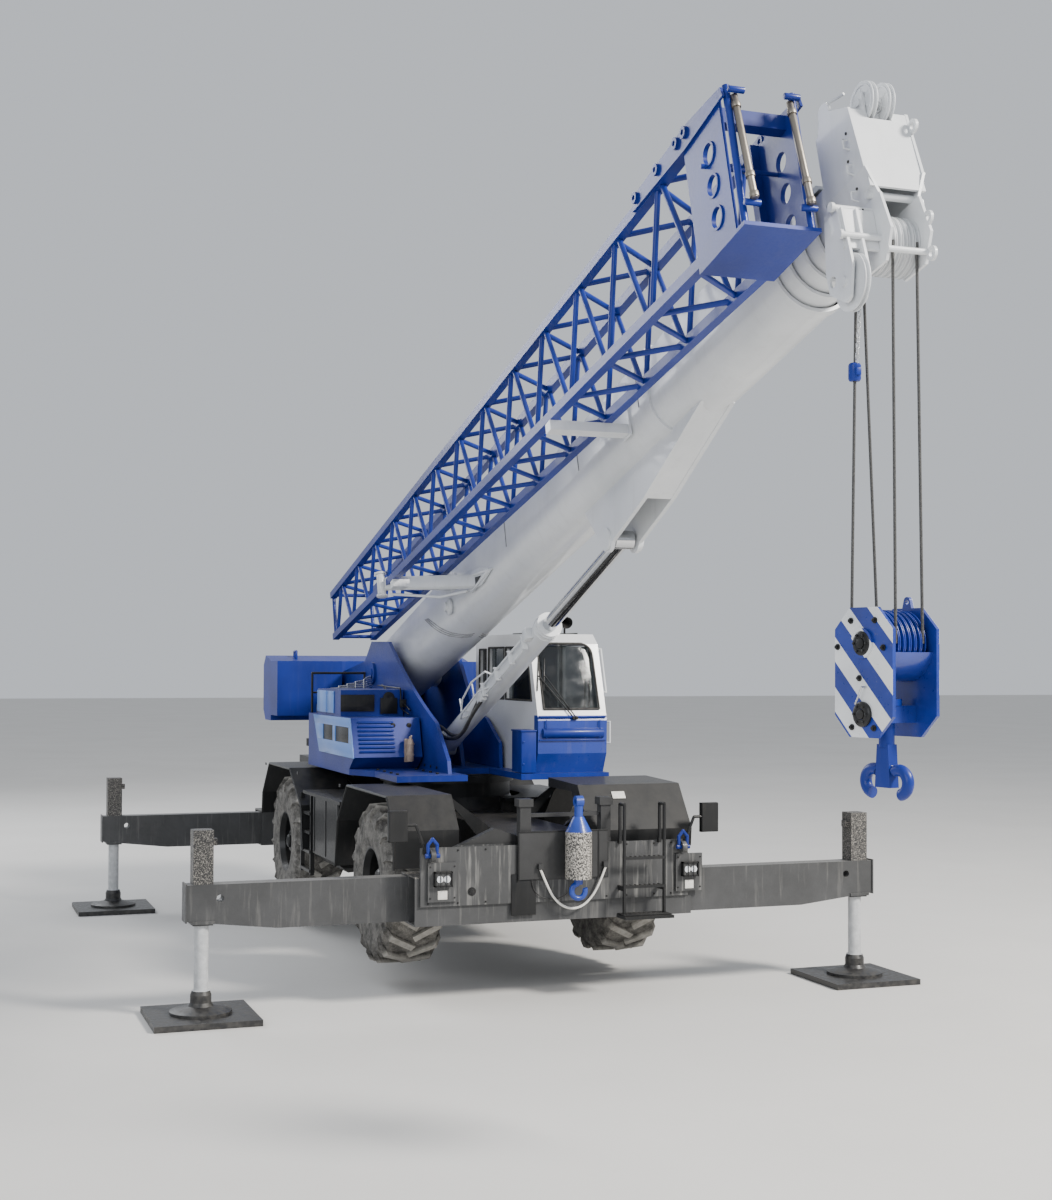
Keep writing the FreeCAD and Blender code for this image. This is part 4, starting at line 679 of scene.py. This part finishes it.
# %% Housing trim
trim, treads, hood_plate = (bmesh.new() for _ in range(3))
block(trim, (3.962, -0.455, 1.292), (3.972, -0.44, 1.795))
block(trim, (3.962, 0.44, 1.292), (3.972, 0.455, 1.795))
block(trim, (3.962, -0.455, 1.785), (3.972, 0.555, 1.8))
block(trim, (3.938, -0.52, 0.93), (3.95, -0.25, 1.36))
bar(trim, (3.905, -0.95, 1.2), (3.95, -0.95, 1.2), 0.026, 20)
spun(trim, ((0.0, 0.045), (0.006, 0.045), (0.006, 0.028), (0.0, 0.028)), (3.938, -0.95, 1.2), (1, 0, 0), 24)
for y in (-1.42, -1.1, -0.8, 0.55, 0.78, 1.1, 1.3):
    for z in (1.09, 1.63):
        bar(trim, (3.936, y, z), (3.948, y, z), 0.011, 6)
for k in range(9):
    block(treads, (3.985 + 0.024 * k, 0.65, 0.9), (3.995 + 0.024 * k, 1.19, 0.912))
for level in (0.91, 1.21, 1.51):
    for k in range(8):
        block(treads, (4.04, 0.71 + 0.055 * k, level), (4.078, 0.725 + 0.055 * k, level + 0.006))
plate(hood_plate, [(3.46, 0.8, 2.147), (3.515, 0.8, 2.077), (3.515, 0.95, 2.077), (3.46, 0.95, 2.147)],
      (0.006, 0, 0.005))
finish_piece("housing_trim", trim, "carrier", black_paint, 0.002)
finish_piece("tread_slats", treads, "carrier", black_paint, 0.001)
finish_piece("hood_plate", hood_plate, "carrier", blank_white, 0.001)

# %% [markdown]
# The cab is a white box with rubber seals round its glass, two wipers on the screen, a work lamp and a grille on the
# roof, a grab rail on the left pillar and a grab bar by the door. Seals are strips laid round each opening.

# %% Cab seals, wipers and roof lamp
seals, wipers, cab_rails, roof_parts = (bmesh.new() for _ in range(4))


def screen_x(z):
    return 1.83 - 0.36 * (z - 2.96)


def screen_strip(shape, places, half=0.014, lift=0.01):
    for (ya, za), (yb, zb) in zip(places, places[1:]):
        bar(shape, (screen_x(za) + lift, ya, za), (screen_x(zb) + lift, yb, zb), half, 8)


screen_ring = [(0.63, 3.005), (1.335, 3.005), (1.335, 3.65), (1.3, 3.75), (1.21, 3.785), (0.755, 3.785),
               (0.665, 3.75), (0.63, 3.65), (0.63, 3.005)]
screen_strip(seals, screen_ring)
for corners in (((-0.33, 3.1), (-0.33, 3.72), (-0.06, 3.72), (-0.06, 3.1)),
                ((0.04, 3.1), (0.04, 3.74), (0.64, 3.74), (0.64, 3.1)),
                ((0.7, 3.1), (0.7, 3.74), (1.47, 3.74), (1.64, 3.1))):
    ring = corners + corners[:1]
    rail(seals, [(x, 0.543, z) for x, z in ring], 0.012, 8)
rail(seals, [(x, 1.422, z) for x, z in ((1.29, 2.98), (1.29, 3.79), (1.44, 3.79), (1.69, 3.02), (1.29, 2.98))],
     0.012, 8)
for foot_y, tip_y in ((0.99, 0.6), (1.02, 0.68)):
    foot_z, tip_z = 2.9, 3.4
    start = (screen_x(foot_z) + 0.03, foot_y, foot_z)
    end = (screen_x(tip_z) + 0.035, tip_y, tip_z)
    bar(wipers, start, end, 0.008, 8)
    bar(wipers, (start[0] - 0.04, foot_y, foot_z), (start[0] + 0.01, foot_y, foot_z), 0.022, 12)
    bar(wipers, (screen_x(3.22) + 0.02, tip_y - 0.03, 3.22), (screen_x(3.6) + 0.02, tip_y + 0.03, 3.6), 0.009, 6)
rail(cab_rails, ((1.63, 1.43, 3.2), (1.66, 1.49, 3.2), (1.49, 1.49, 3.72), (1.46, 1.43, 3.72)), 0.013)
rail(cab_rails, ((1.8, 1.425, 2.6), (1.83, 1.47, 2.6), (1.83, 1.47, 2.85), (1.79, 1.425, 2.85)), 0.011)
spun(roof_parts, ((0.0, 0.055), (0.11, 0.075), (0.12, 0.07), (0.105, 0.06), (0.012, 0.0005), (0.0, 0.0005)),
     (1.3, 1.09, 4.07), (0.94, -0.1, -0.3), 28)
bar(roof_parts, (1.3, 1.09, 3.9), (1.3, 1.09, 4.03), 0.014, 10)
block(roof_parts, (1.26, 1.03, 3.9), (1.34, 1.15, 3.912))
for k in range(12):
    block(roof_parts, (0.56 + 0.057 * k, 0.7, 3.885), (0.575 + 0.057 * k, 1.27, 3.915))
for y0 in (0.69, 1.265):
    block(roof_parts, (0.54, y0, 3.885), (1.26, y0 + 0.015, 3.92))
finish_piece("cab_seals", seals, "superstructure", pad_rubber)
finish_piece("cab_wipers", wipers, "superstructure", black_paint, 0.001)
door_handle = bmesh.new()
rail(door_handle, ((1.1, 1.46, 2.72), (1.1, 1.5, 2.72), (1.1, 1.5, 2.88), (1.1, 1.46, 2.88)), 0.009)
bar(door_handle, (1.19, 1.46, 2.8), (1.19, 1.478, 2.8), 0.018, 16)
finish_piece("door_handle", door_handle, "cab_door", black_paint)
finish_piece("cab_grab_rails", cab_rails, "superstructure", white_paint)
finish_piece("cab_roof_lamp", roof_parts, "superstructure", black_paint, 0.001)

# %% [markdown]
# The driver's seat is replaced, since cloth over foam is never a flat block: each cushion is a box whose faces are
# subdivided, pushed out to a crown and smoothed with a subdivision surface, and the weave finish goes over it.

# %% Seat and console
def cushion(name, low, high, crown, lean=0.0):
    shape = bmesh.new()
    block(shape, low, high)
    bmesh.ops.subdivide_edges(shape, edges=shape.edges[:], cuts=3, use_grid_fill=True)
    middle = [(a + b) / 2 for a, b in zip(low, high)]
    half = [(b - a) / 2 for a, b in zip(low, high)]
    for vert in shape.verts:
        across = [(vert.co[k] - middle[k]) / half[k] for k in range(3)]
        for k in range(3):
            others = [across[j] for j in range(3) if j != k]
            vert.co[k] += across[k] * crown * (1 - others[0] ** 2) * (1 - others[1] ** 2)
        vert.co.x -= lean * (vert.co.z - low[2])
    piece = finish_piece(name, shape, "superstructure", seat_cloth)
    soft = piece.modifiers.new("round", "SUBSURF")
    soft.levels = soft.render_levels = 2
    return piece


seat_parts = [cushion("seat_base", (0.43, 0.75, 2.53), (0.97, 1.215, 2.65), 0.03),
              cushion("seat_back", (0.44, 0.76, 2.66), (0.56, 1.205, 3.33), 0.03, 0.11),
              cushion("seat_headrest", (0.39, 0.86, 3.34), (0.47, 1.105, 3.49), 0.02)]
seat_frame, console = bmesh.new(), bmesh.new()
block(seat_frame, (0.47, 0.82, 2.295), (0.93, 1.145, 2.52))
for y in (0.72, 1.22):
    block(seat_frame, (0.52, y, 2.6), (0.9, y + 0.025, 2.8))
for y in (0.93, 1.035):
    bar(seat_frame, (0.42, y, 3.28), (0.42, y, 3.4), 0.009, 8)
plate(console, [(1.36, 0.76, 2.3), (1.68, 0.76, 2.3), (1.68, 0.76, 2.84), (1.5, 0.76, 2.89), (1.39, 0.76, 2.6)],
      (0, 0.445, 0))
for y in (0.86, 1.1):
    bar(console, (1.44, y, 2.8), (1.41, y, 3.0), 0.011, 10)
    bmesh.ops.create_uvsphere(console, u_segments=16, v_segments=10, radius=0.027,
                              matrix=Matrix.Translation((1.408, y, 3.01)))
finish_piece("seat_frame", seat_frame, "superstructure", black_paint, 0.004)
finish_piece("cab_console", console, "superstructure", black_paint, 0.008)
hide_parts("cab_seat")

# %% [markdown]
# On the near side of the superstructure a light-blue guard plate with two openings stands off the housing, with a
# light cover above it, louvres on the housing's front, a fire extinguisher without any label, recess panels, a dark
# arch opening and short pipes. The guard's two openings, the recess panel and the arch opening are not cut: black
# plates of painted shade stand in them. Blue boxes hang under the cab front, which has an apron with strips across it.

# %% Superstructure covers
guard, light_cover, louvres, bottle, shade_fills_and_pipes, cab_apron, rigging = (bmesh.new() for _ in range(7))
guard_y, guard_thick = -1.395, 0.012
for outline in (((-1.46, 2.86), (0.52, 2.87), (0.56, 2.755), (-1.37, 2.755)),
                ((-1.23, 2.56), (0.64, 2.56), (0.7, 2.39), (-1.1, 2.39)),
                ((-1.37, 2.755), (-0.9, 2.755), (-0.9, 2.56), (-1.23, 2.56)),
                ((0.46, 2.755), (0.56, 2.755), (0.64, 2.56), (0.46, 2.56))):
    plate(guard, [(x, guard_y, z) for x, z in outline], (0, guard_thick, 0))
block(guard, (-0.37, guard_y, 2.56), (-0.23, guard_y + guard_thick, 2.755))
# painted shade: black plates fill the guard's two openings instead of holes
for x0, x1 in ((-0.9, -0.37), (-0.23, 0.46)):
    block(shade_fills_and_pipes, (x0, guard_y + 0.008, 2.56), (x1, guard_y + guard_thick, 2.755))
for x0, x1 in ((-1.47, -0.95), (-0.925, -0.55)):
    block(light_cover, (x0, -1.342, 2.9), (x1, -1.33, 3.18))
for x in (-1.44, -0.98, -0.9, -0.58):
    for z in (2.93, 3.15):
        bar(light_cover, (x, -1.349, z), (x, -1.34, z), 0.008, 8)
for k in range(8):
    z = 2.46 + 0.05 * k
    x = 0.68 - 0.34 * (z - 2.4)
    block(louvres, (x, -1.3, z), (x + 0.022, -0.86, z + 0.012))
    block(louvres, (x + 0.008, -1.3, z + 0.012), (x + 0.016, -0.86, z + 0.024))
block(louvres, (0.47, -1.32, 2.8), (0.545, -0.84, 2.815))
spun(bottle, ((0.0, 0.0005), (0.0, 0.038), (0.012, 0.044), (0.22, 0.044), (0.25, 0.034), (0.265, 0.018),
              (0.3, 0.018), (0.3, 0.0005)), (0.76, -0.7, 2.35), (0, 0, 1), 28)
bar(bottle, (0.72, -0.7, 2.64), (0.81, -0.7, 2.66), 0.009, 8)
block(bottle, (0.66, -0.75, 2.34), (0.7, -0.65, 2.62))
for z in (2.42, 2.55):
    spun(bottle, ((0.0, 0.044), (0.02, 0.044), (0.02, 0.05), (0.0, 0.05)), (0.76, -0.7, z), (0, 0, 1), 24)
# painted shade: a black plate for the recess and a black arch of block and disc for the opening
block(shade_fills_and_pipes, (-0.2, -1.335, 2.93), (-0.19, -0.9, 3.14))
block(shade_fills_and_pipes, (-0.205, -0.82, 2.9), (-0.19, -0.6, 3.1))
spun(shade_fills_and_pipes, ((0.0, 0.0005), (0.0, 0.075), (0.012, 0.075), (0.012, 0.0005)), (-0.205, -0.71, 3.1), (1, 0, 0), 24)
for y in (-0.86, -0.66):
    bar(shade_fills_and_pipes, (0.5, y, 2.78), (0.56, y, 2.78), 0.03, 16)
finish_piece("side_guard", guard, "superstructure", light_blue, 0.002)
finish_piece("light_cover", light_cover, "superstructure", light_blue, 0.003)
finish_piece("front_louvres", louvres, "superstructure", blue_paint, 0.001)
finish_piece("extinguisher", bottle, "superstructure", bottle_cream, 0.001)
finish_piece("painted_shade_fills_and_pipes", shade_fills_and_pipes, "superstructure", black_paint, 0.001)

# the blue cab front: strips, a box beside it and a rounded cross roll
for z0, z1 in ((2.905, 2.925), (2.63, 2.645)):
    block(cab_apron, (1.83, 0.56, z0), (1.878, 1.405, z1))
bar(cab_apron, (1.845, 0.6, 2.72), (1.845, 1.37, 2.72), 0.062, 24)
for y in (0.64, 1.32):
    bar(cab_apron, (1.885, y, 2.66), (1.885, y, 2.88), 0.008, 8)
block(cab_apron, (1.5, 0.345, 2.26), (1.84, 0.53, 2.74))
block(cab_apron, (1.49, 0.335, 2.74), (1.85, 0.535, 2.76))
for z in (2.36, 2.62):
    bar(cab_apron, (1.84, 0.37, z), (1.852, 0.37, z), 0.012, 8)
finish_piece("cab_apron", cab_apron, "superstructure", blue_paint, 0.006)
for side, low_x in ((-1, 0.2), (1, -0.4)):
    y = side * 0.502
    for k in range(5):
        x = low_x + 0.25 * k
        bar(rigging, (x, y - 0.004, 2.3), (x, y + 0.004, 2.3), 0.018, 6)
for x in (1.62, 1.35, 1.05, 0.75):
    for y in (-1.1, -0.62):
        bar(rigging, (x, y, 2.25), (x, y, 2.268), 0.02, 6)
rail(rigging, ((0.15, -0.53, 2.95), (-0.1, -0.53, 3.02), (-0.5, -0.53, 3.05), (-1.2, -0.53, 3.25)), 0.011)
rail(rigging, ((0.2, -0.56, 2.9), (-0.15, -0.56, 2.96), (-0.2, -0.56, 3.22), (-1.3, -0.56, 3.24)), 0.009)
for x in (-0.15, -0.7):
    block(rigging, (x - 0.015, -0.58, 2.98), (x + 0.015, -0.495, 3.08))
finish_piece("deck_fixings", rigging, "superstructure", black_paint, 0.001)

# %% [markdown]
# Behind the near housing stand the valve bank of the winches, with its solenoid caps and bent steel pipes, and a
# guard rail of bent tube. Without them the deck would be bare where the photograph shows fittings.

# %% Valve bank and guard rail
valves, valve_pipes, deck_rail = (bmesh.new() for _ in range(3))
block(valves, (-1.77, -1.28, 2.872), (-1.54, -0.6, 2.98))
for k in range(6):
    y = -1.22 + 0.115 * k
    block(valves, (-1.74, y - 0.035, 2.98), (-1.57, y + 0.035, 3.06))
    spun(valves, ((0.0, 0.0005), (0.0, 0.03), (0.07, 0.03), (0.085, 0.022), (0.085, 0.0005)), (-1.66, y, 3.06),
         (0, 0, 1), 20)
    rise = 3.16 + 0.03 * k
    rail(valve_pipes, ((-1.7, y, 3.05), (-1.7, y, rise), (-1.72, -0.6, rise + 0.03), (-1.8, -0.505, rise + 0.05)),
         0.011)
rail(deck_rail, ((-1.775, -1.34, 2.872), (-1.775, -1.34, 3.4), (-1.775, -0.62, 3.4), (-2.2, -0.56, 3.4),
                 (-2.2, -0.5, 3.4)), 0.016)
rail(deck_rail, ((-1.775, -1.34, 3.14), (-1.775, -0.62, 3.14)), 0.013)
rail(deck_rail, ((-1.775, -0.62, 2.872), (-1.775, -0.62, 3.4)), 0.016)
finish_piece("valve_bank", valves, "superstructure", black_paint, 0.002)
finish_piece("valve_pipes", valve_pipes, "superstructure", plated)
finish_piece("deck_rail", deck_rail, "superstructure", black_paint)

# %% [markdown]
# The base section of the boom is a pressed shell. Its lower half is folded from plates, which leaves a V of seams on
# the side, and the stowed jib rides on a swing-out arm: a tapered box arm on a swivel boss, with a gusset that has a
# triangular hole. The gusset is left whole, with a lip of bars round the hole and a black triangle of painted shade in
# it. Weld beads are thin raised bars that follow the shell.

# %% Boom seams and stow arm
seams, arm, gusset_hole_painted_shade = (bmesh.new() for _ in range(3))
for shift in (0.0, 0.06, 0.12):
    for side in (-1, 1):
        run = [(2.04 + shift, side * 0.333, 0.13 - shift * 0.2), (2.3 + shift, side * 0.333, -0.04),
               (2.5 + shift, side * 0.305, -0.17), (2.66 + shift, side * 0.236, -0.268),
               (2.82 + shift, side * 0.13, -0.336), (2.95 + shift, side * 0.05, -0.361)]
        for start, end in zip(run, run[1:]):
            bar(seams, start, end, 0.007, 6)
for s in (5.2, 7.4, 8.9):
    for side in (-1, 1):
        bar(seams, (s, side * 0.333, -0.02), (s, side * 0.333, 0.385), 0.006, 6)
block(arm, (2.86, -0.52, 0.25), (3.06, -0.34, 0.42))
plate(arm, [(2.98, -1.12, 0.33), (4.04, -0.36, 0.02), (4.04, -0.36, -0.12), (2.98, -1.12, 0.19)], (0.11, 0.03, 0))
gusset = ((3.0, 0.3), (4.3, 0.05), (4.71, -0.1), (4.3, -0.16), (3.7, -0.06), (3.0, 0.12))
plate(arm, [(s, -0.345, n) for s, n in gusset], (0, 0.014, 0))
hole_edge = [(s, -0.352, n) for s, n in ((3.98, 0.06), (4.62, -0.09), (3.98, -0.14), (3.98, 0.06))]
for start, end in zip(hole_edge, hole_edge[1:]):
    bar(arm, start, end, 0.018, 8)
# painted shade: a black triangle on the whole gusset stands for the hole
plate(gusset_hole_painted_shade, [(4.08, -0.35, 0.0), (4.34, -0.35, -0.06), (4.08, -0.35, -0.11)], (0, 0.004, 0))
spun(arm, ((0.0, 0.0005), (0.0, 0.1), (0.03, 0.1), (0.05, 0.06), (0.08, 0.06), (0.08, 0.0005)), (3.1, -0.335, -0.04),
     (0, -1, 0), 28)
bar(arm, (2.99, -1.14, 0.14), (2.99, -1.14, 0.4), 0.05, 20)
for n0 in (0.12, 0.4):
    bar(arm, (2.99, -1.14, n0 - 0.012), (2.99, -1.14, n0 + 0.012), 0.066, 20)
bar(arm, (3.06, -1.05, 0.12), (3.66, -0.62, -0.1), 0.016, 10)
bar(arm, (3.66, -0.62, -0.1), (3.95, -0.4, -0.12), 0.016, 10)
finish_piece("boom_seams", seams, "boom_base", seam_grey, place=boom_place)
finish_piece("stow_arm", arm, "boom_base", white_paint, 0.004, boom_place)
finish_piece("stow_arm_hole_painted_shade", gusset_hole_painted_shade, "boom_base", black_paint, place=boom_place)

# %% [markdown]
# The cheek plates of the boom head are riveted through. The rivets are dark dots from the camera, so each is a short
# six-sided bar. Their places are given along the boom and above its axis, and boom_place turns them into the scene.

# %% Rivets of the boom head
rivets = bmesh.new()
for side in (-1, 1):
    for s, n in ((12.572, 0.446), (12.524, 0.42), (12.544, 0.238), (12.595, -0.008), (12.62, -0.189)):
        bar(rivets, (s, side * 0.243, n), (s, side * 0.252, n), 0.012, 6)
finish_piece("head_rivets", rivets, "boom_section_5", pad_rubber, place=boom_place)

# %% [markdown]
# Two hydraulic hoses hang in a bend beside the foot of the lift barrel, a steel pipe is clamped along it, and grab
# handles stand on it. All of it rides with the barrel, so it is drawn in the barrel's own directions: along it, to
# its left and out above it. A hose keeps its bend on the real machine too, being stiff with oil under pressure.

# %% Hoses, pipe and handles of the lift cylinder
pipes, handles = bmesh.new(), bmesh.new()


def on_barrel(along, y, out):
    return tuple(barrel_place @ Vector((along, y, out)))


hose_routes = {
    "hose_upper": [(1.85, -0.13, -0.05), (1.72, -0.2, -0.2), (1.4, -0.225, -0.33), (1.0, -0.23, -0.22),
                   (0.68, -0.23, 0.0), (0.5, -0.225, 0.1), (0.42, -0.14, 0.04)],
    "hose_lower": [(1.95, -0.12, -0.08), (1.8, -0.235, -0.24), (1.45, -0.275, -0.38), (1.0, -0.285, -0.26),
                   (0.64, -0.285, -0.04), (0.44, -0.27, 0.04), (0.32, -0.14, -0.02)],
}
for name, route in hose_routes.items():
    places = [on_barrel(*point) for point in route]
    hose = hanging_line(name, places, 0.0225, "lift_barrel", hose_rubber)
    round(line_length(hose), 3)
bar(pipes, (1.95, -0.155, 0.02), (3.7, -0.155, 0.02), 0.014, 12)
bar(pipes, (2.0, -0.14, -0.09), (3.55, -0.14, -0.09), 0.01, 12)
for along in (2.1, 2.6, 3.1, 3.55):
    block(pipes, (along - 0.02, -0.175, -0.11), (along + 0.02, -0.11, 0.05))
    bar(pipes, (along, -0.172, 0.045), (along, -0.188, 0.045), 0.009, 6)
block(pipes, (3.64, -0.19, -0.06), (3.76, -0.1, 0.06))
block(pipes, (0.34, -0.3, -0.04), (0.46, -0.09, 0.04))
block(pipes, (1.8, -0.16, -0.12), (2.02, -0.1, 0.0))
for along in (3.86, 3.94):
    spun(pipes, ((0.0, 0.125), (0.0, 0.149), (0.02, 0.149), (0.02, 0.125)), (along, 0.0, 0.0), (1, 0, 0), 32)
rail(handles, ((2.35, -0.11, 0.06), (2.35, -0.2, 0.1), (1.95, -0.24, 0.12), (1.55, -0.24, 0.05),
               (1.35, -0.2, -0.02), (1.35, -0.11, -0.02)), 0.011)
rail(handles, ((2.2, -0.11, -0.03), (2.05, -0.2, -0.03), (1.5, -0.24, -0.1), (1.3, -0.2, -0.1),
               (1.3, -0.1, -0.06)), 0.011)
for along in (1.45, 1.95):
    bar(handles, (along, -0.235, 0.1), (along, -0.225, -0.06), 0.009, 8)
finish_piece("barrel_pipes", pipes, "lift_barrel", white_paint, 0.002, barrel_place)
finish_piece("barrel_handles", handles, "lift_barrel", white_paint, place=barrel_place)

# %% [markdown]
# The two idler sheaves on top of the head look spoked: raised ribs run from hub to rim, with a ring at each. Bent
# rods beside them keep the rope in its groove, and small hooks on the cheeks hold lines. They are made of round bars.

# %% Idler ribs, rope guards and head rails
head_rails = bmesh.new()
idler_s, idler_n = 12.59, 0.7
for y in (-0.07, 0.07):
    for side in (-1, 1):
        face = y + side * 0.014
        for k in range(6):
            angle = radians(60 * k + 20)
            start, end = ((idler_s + reach * cos(angle), face, idler_n + reach * sin(angle))
                          for reach in (0.045, 0.132))
            bar(head_rails, start, end, 0.011, 8)
        for height, inner, outer, steps in ((0.012, 0.126, 0.14, 40), (0.016, 0.032, 0.055, 28)):
            spun(head_rails, ((-0.004, inner), (height, inner), (height, outer), (-0.004, outer)),
                 (idler_s, face, idler_n), (0, side, 0), steps)
rail(head_rails, ((12.36, -0.2, 0.6), (12.33, -0.2, 0.85), (12.5, -0.16, 0.83)), 0.011)
bar(head_rails, (12.33, -0.2, 0.85), (12.25, -0.21, 0.855), 0.013, 10)
rail(head_rails, ((12.4, 0.2, 0.6), (12.38, 0.2, 0.8), (12.5, 0.17, 0.78)), 0.009)
for side in (-1, 1):
    for n in (0.36, 0.16, -0.05):
        rail(head_rails, ((12.58, side * 0.24, n + 0.03), (12.58, side * 0.29, n + 0.02),
                          (12.58, side * 0.29, n - 0.04), (12.58, side * 0.24, n - 0.05)), 0.007)
finish_piece("head_rails", head_rails, "boom_section_5", white_paint, place=boom_place)

# %% [markdown]
# The stowed jib's end frames carry long bare connecting rods with bright collars, and its pin bosses have pins with
# round heads. Seen from the front they break up the wide blue plates.

# %% Jib rods and pins
jib_rods, jib_pins, jib_lips = (bmesh.new() for _ in range(3))
for y in (-1.02, -0.58):
    bar(jib_rods, (12.52, y, -0.12), (12.44, y, 0.74), 0.026, 20)
    for share in (0.03, 0.22, 0.9):
        s, n = 12.52 - 0.08 * share, -0.12 + 0.86 * share
        spun(jib_rods, ((-0.02, 0.0005), (-0.02, 0.034), (0.02, 0.034), (0.02, 0.0005)), (s, y, n), (-0.093, 0, 1), 20)
    for n in (-0.13, 0.76):
        bar(jib_pins, (12.48, y - 0.06, n), (12.48, y + 0.06, n), 0.024, 16)
for y, side in ((-1.1, -1), (-0.5, 1)):
    for n in (-0.05, 0.205, 0.46):
        spun(jib_lips, ((0.0, 0.075), (0.012, 0.075), (0.012, 0.09), (0.0, 0.09)), (12.12, y, n), (0, side, 0), 32)
bar(jib_pins, (12.05, -1.14, 0.4), (12.05, -0.47, 0.4), 0.018, 16)
finish_piece("jib_rods", jib_rods, "boom_base", rod_brown, 0.001, boom_place)
finish_piece("jib_pins", jib_pins, "boom_base", blue_paint, 0.002, boom_place)
finish_piece("jib_hole_lips", jib_lips, "boom_base", blue_paint, place=boom_place)

# %% [markdown]
# The sides and the back are seen less but finished the same way: fender lips, filler caps, wheel nuts round each hub,
# rear lamps, a slatted radiator grille, and counterweight lifting eyes and seams.

# %% Sides and back
lips, caps, rear_lamps, rear_grille, eyes = (bmesh.new() for _ in range(5))
for side in (-1, 1):
    y = side * 1.652
    for arch in (((3.47, 1.4), (3.47, 1.79), (3.19, 2.14), (1.45, 2.14), (1.0, 1.7), (0.9, 1.15)),
                 ((-0.9, 1.15), (-1.0, 1.7), (-1.7, 2.14), (-3.04, 2.14), (-3.5, 1.7), (-3.54, 1.4))):
        rail(lips, [(x, y, z - 0.015) for x, z in arch], 0.014, 8)
    for x in (-0.25, 0.55):
        spun(caps, ((0.0, 0.0005), (0.0, 0.06), (0.03, 0.06), (0.045, 0.05), (0.045, 0.0005)), (x, side * 1.48, 1.858),
             (0, 0, 1), 24)
    for x in (-0.42, 0.2, 0.82):
        block(caps, (x - 0.025, side * 1.612 - 0.006, 1.17), (x + 0.025, side * 1.612 + 0.006, 1.85))
    for x in (-3.3, -1.2, 1.1, 3.2):
        block(caps, (x - 0.035, side * 1.655 - 0.004, 2.085), (x + 0.035, side * 1.655 + 0.004, 2.12))
for side in (-1, 1):
    for y in (0.66, 0.78):
        spun(rear_lamps, ((0.0, 0.0005), (0.0, 0.05), (0.02, 0.046), (0.03, 0.03), (0.032, 0.0005)),
             (-4.632, side * y, 1.62), (-1, 0, 0), 24)
    block(rear_grille, (-4.645, side * 0.72 - 0.14, 1.54), (-4.63, side * 0.72 + 0.14, 1.7))
for k in range(10):
    z = 1.76 + 0.034 * k
    block(rear_grille, (-4.645, -0.5, z), (-4.628, 0.5, z + 0.014))
for y in (-0.51, 0.5):
    block(rear_grille, (-4.65, y, 1.74), (-4.628, y + 0.012, 2.11))
for y in (-1.1, 1.1):
    rail(eyes, ((-4.02, y, 3.6), (-4.02, y, 3.7), (-3.9, y, 3.7), (-3.9, y, 3.58)), 0.02)
for y in (-0.75, 0.75):
    block(eyes, (-4.315, y - 0.006, 2.88), (-4.295, y + 0.006, 3.48))
finish_piece("fender_lips", lips, "carrier", black_paint)
finish_piece("tank_caps", caps, "carrier", black_paint, 0.002)
finish_piece("rear_lamps", rear_lamps, "carrier", bottle_red)
finish_piece("rear_grille", rear_grille, "carrier", black_paint, 0.001)
finish_piece("weight_eyes", eyes, "superstructure", blue_paint, 0.002)

for end, x in (("front", wheel_x), ("rear", -wheel_x)):
    for side_name, side in (("right", -1), ("left", 1)):
        nuts = bmesh.new()
        for k in range(12):
            nut_x, nut_z = x + 0.2 * cos(radians(30 * k)), axle_z + 0.2 * sin(radians(30 * k))
            bar(nuts, (nut_x, side * 1.36, nut_z), (nut_x, side * 1.36 + side * 0.045, nut_z), 0.018, 6)
        spun(nuts, ((0.0, 0.0005), (0.0, 0.09), (0.03, 0.085), (0.045, 0.05), (0.05, 0.0005)),
             (x, side * 1.513, axle_z), (0, side, 0), 28)
        finish_piece("wheel_nuts_" + end + "_" + side_name, nuts, "wheel_" + end + "_" + side_name, black_paint,
                     0.002)

# %% [markdown]
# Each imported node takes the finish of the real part, chosen by how its name starts. A maker paints such parts in a
# few colours before they are joined, so one table holds them, and a node that it doesn't list is carrier black.

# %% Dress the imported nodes
dress = {
    "outrigger_": outrigger_paint, "jack_foot_": jack_finish, "tyre_": tyre_rubber, "front_bumper": bumper_paint,
    "auxiliary_hook": weight_paint, "lift_rod": chrome,
    "turntable": blue_paint, "counterweight": blue_paint, "side_housings": blue_paint, "jib_lattice": blue_paint,
    "hook_block": block_stripes, "double_hook": blue_paint, "cab_door": white_paint, "boom_": white_paint,
    "head_sheaves": white_paint, "cab_shell": cab_white, "lift_barrel": white_paint, "jib_supports": white_paint,
    "cab_glass": cab_glass, "cab_seat": seat_cloth, "hoist_ropes": wire_rope, "engine_block": engine_iron,
}
for name, node in nodes.items():
    chosen = black_paint
    for start, material in dress.items():
        if name.startswith(start):
            chosen = material
    node.data.materials.clear()
    node.data.materials.append(chosen)
print("dressed", len(nodes))

# %% [markdown]
# The crane is shown on a plain pale floor, not on the ground of the photograph, so that its own shadows and colours
# can be judged. Faint broad clouds keep the floor from looking like paper.

# %% Floor finish
def pale_floor():
    ground = Finish("pale_floor", specular=0.2)
    ground.colour(ground.mix(ground.patches((3.0, 4.0), 0.3, 0.7), (0.62, 0.61, 0.59), (0.66, 0.65, 0.63)))
    ground.shader.inputs["Roughness"].default_value = 0.9
    return ground.material


floor.data.materials.append(pale_floor())
print("floor", floor.name)
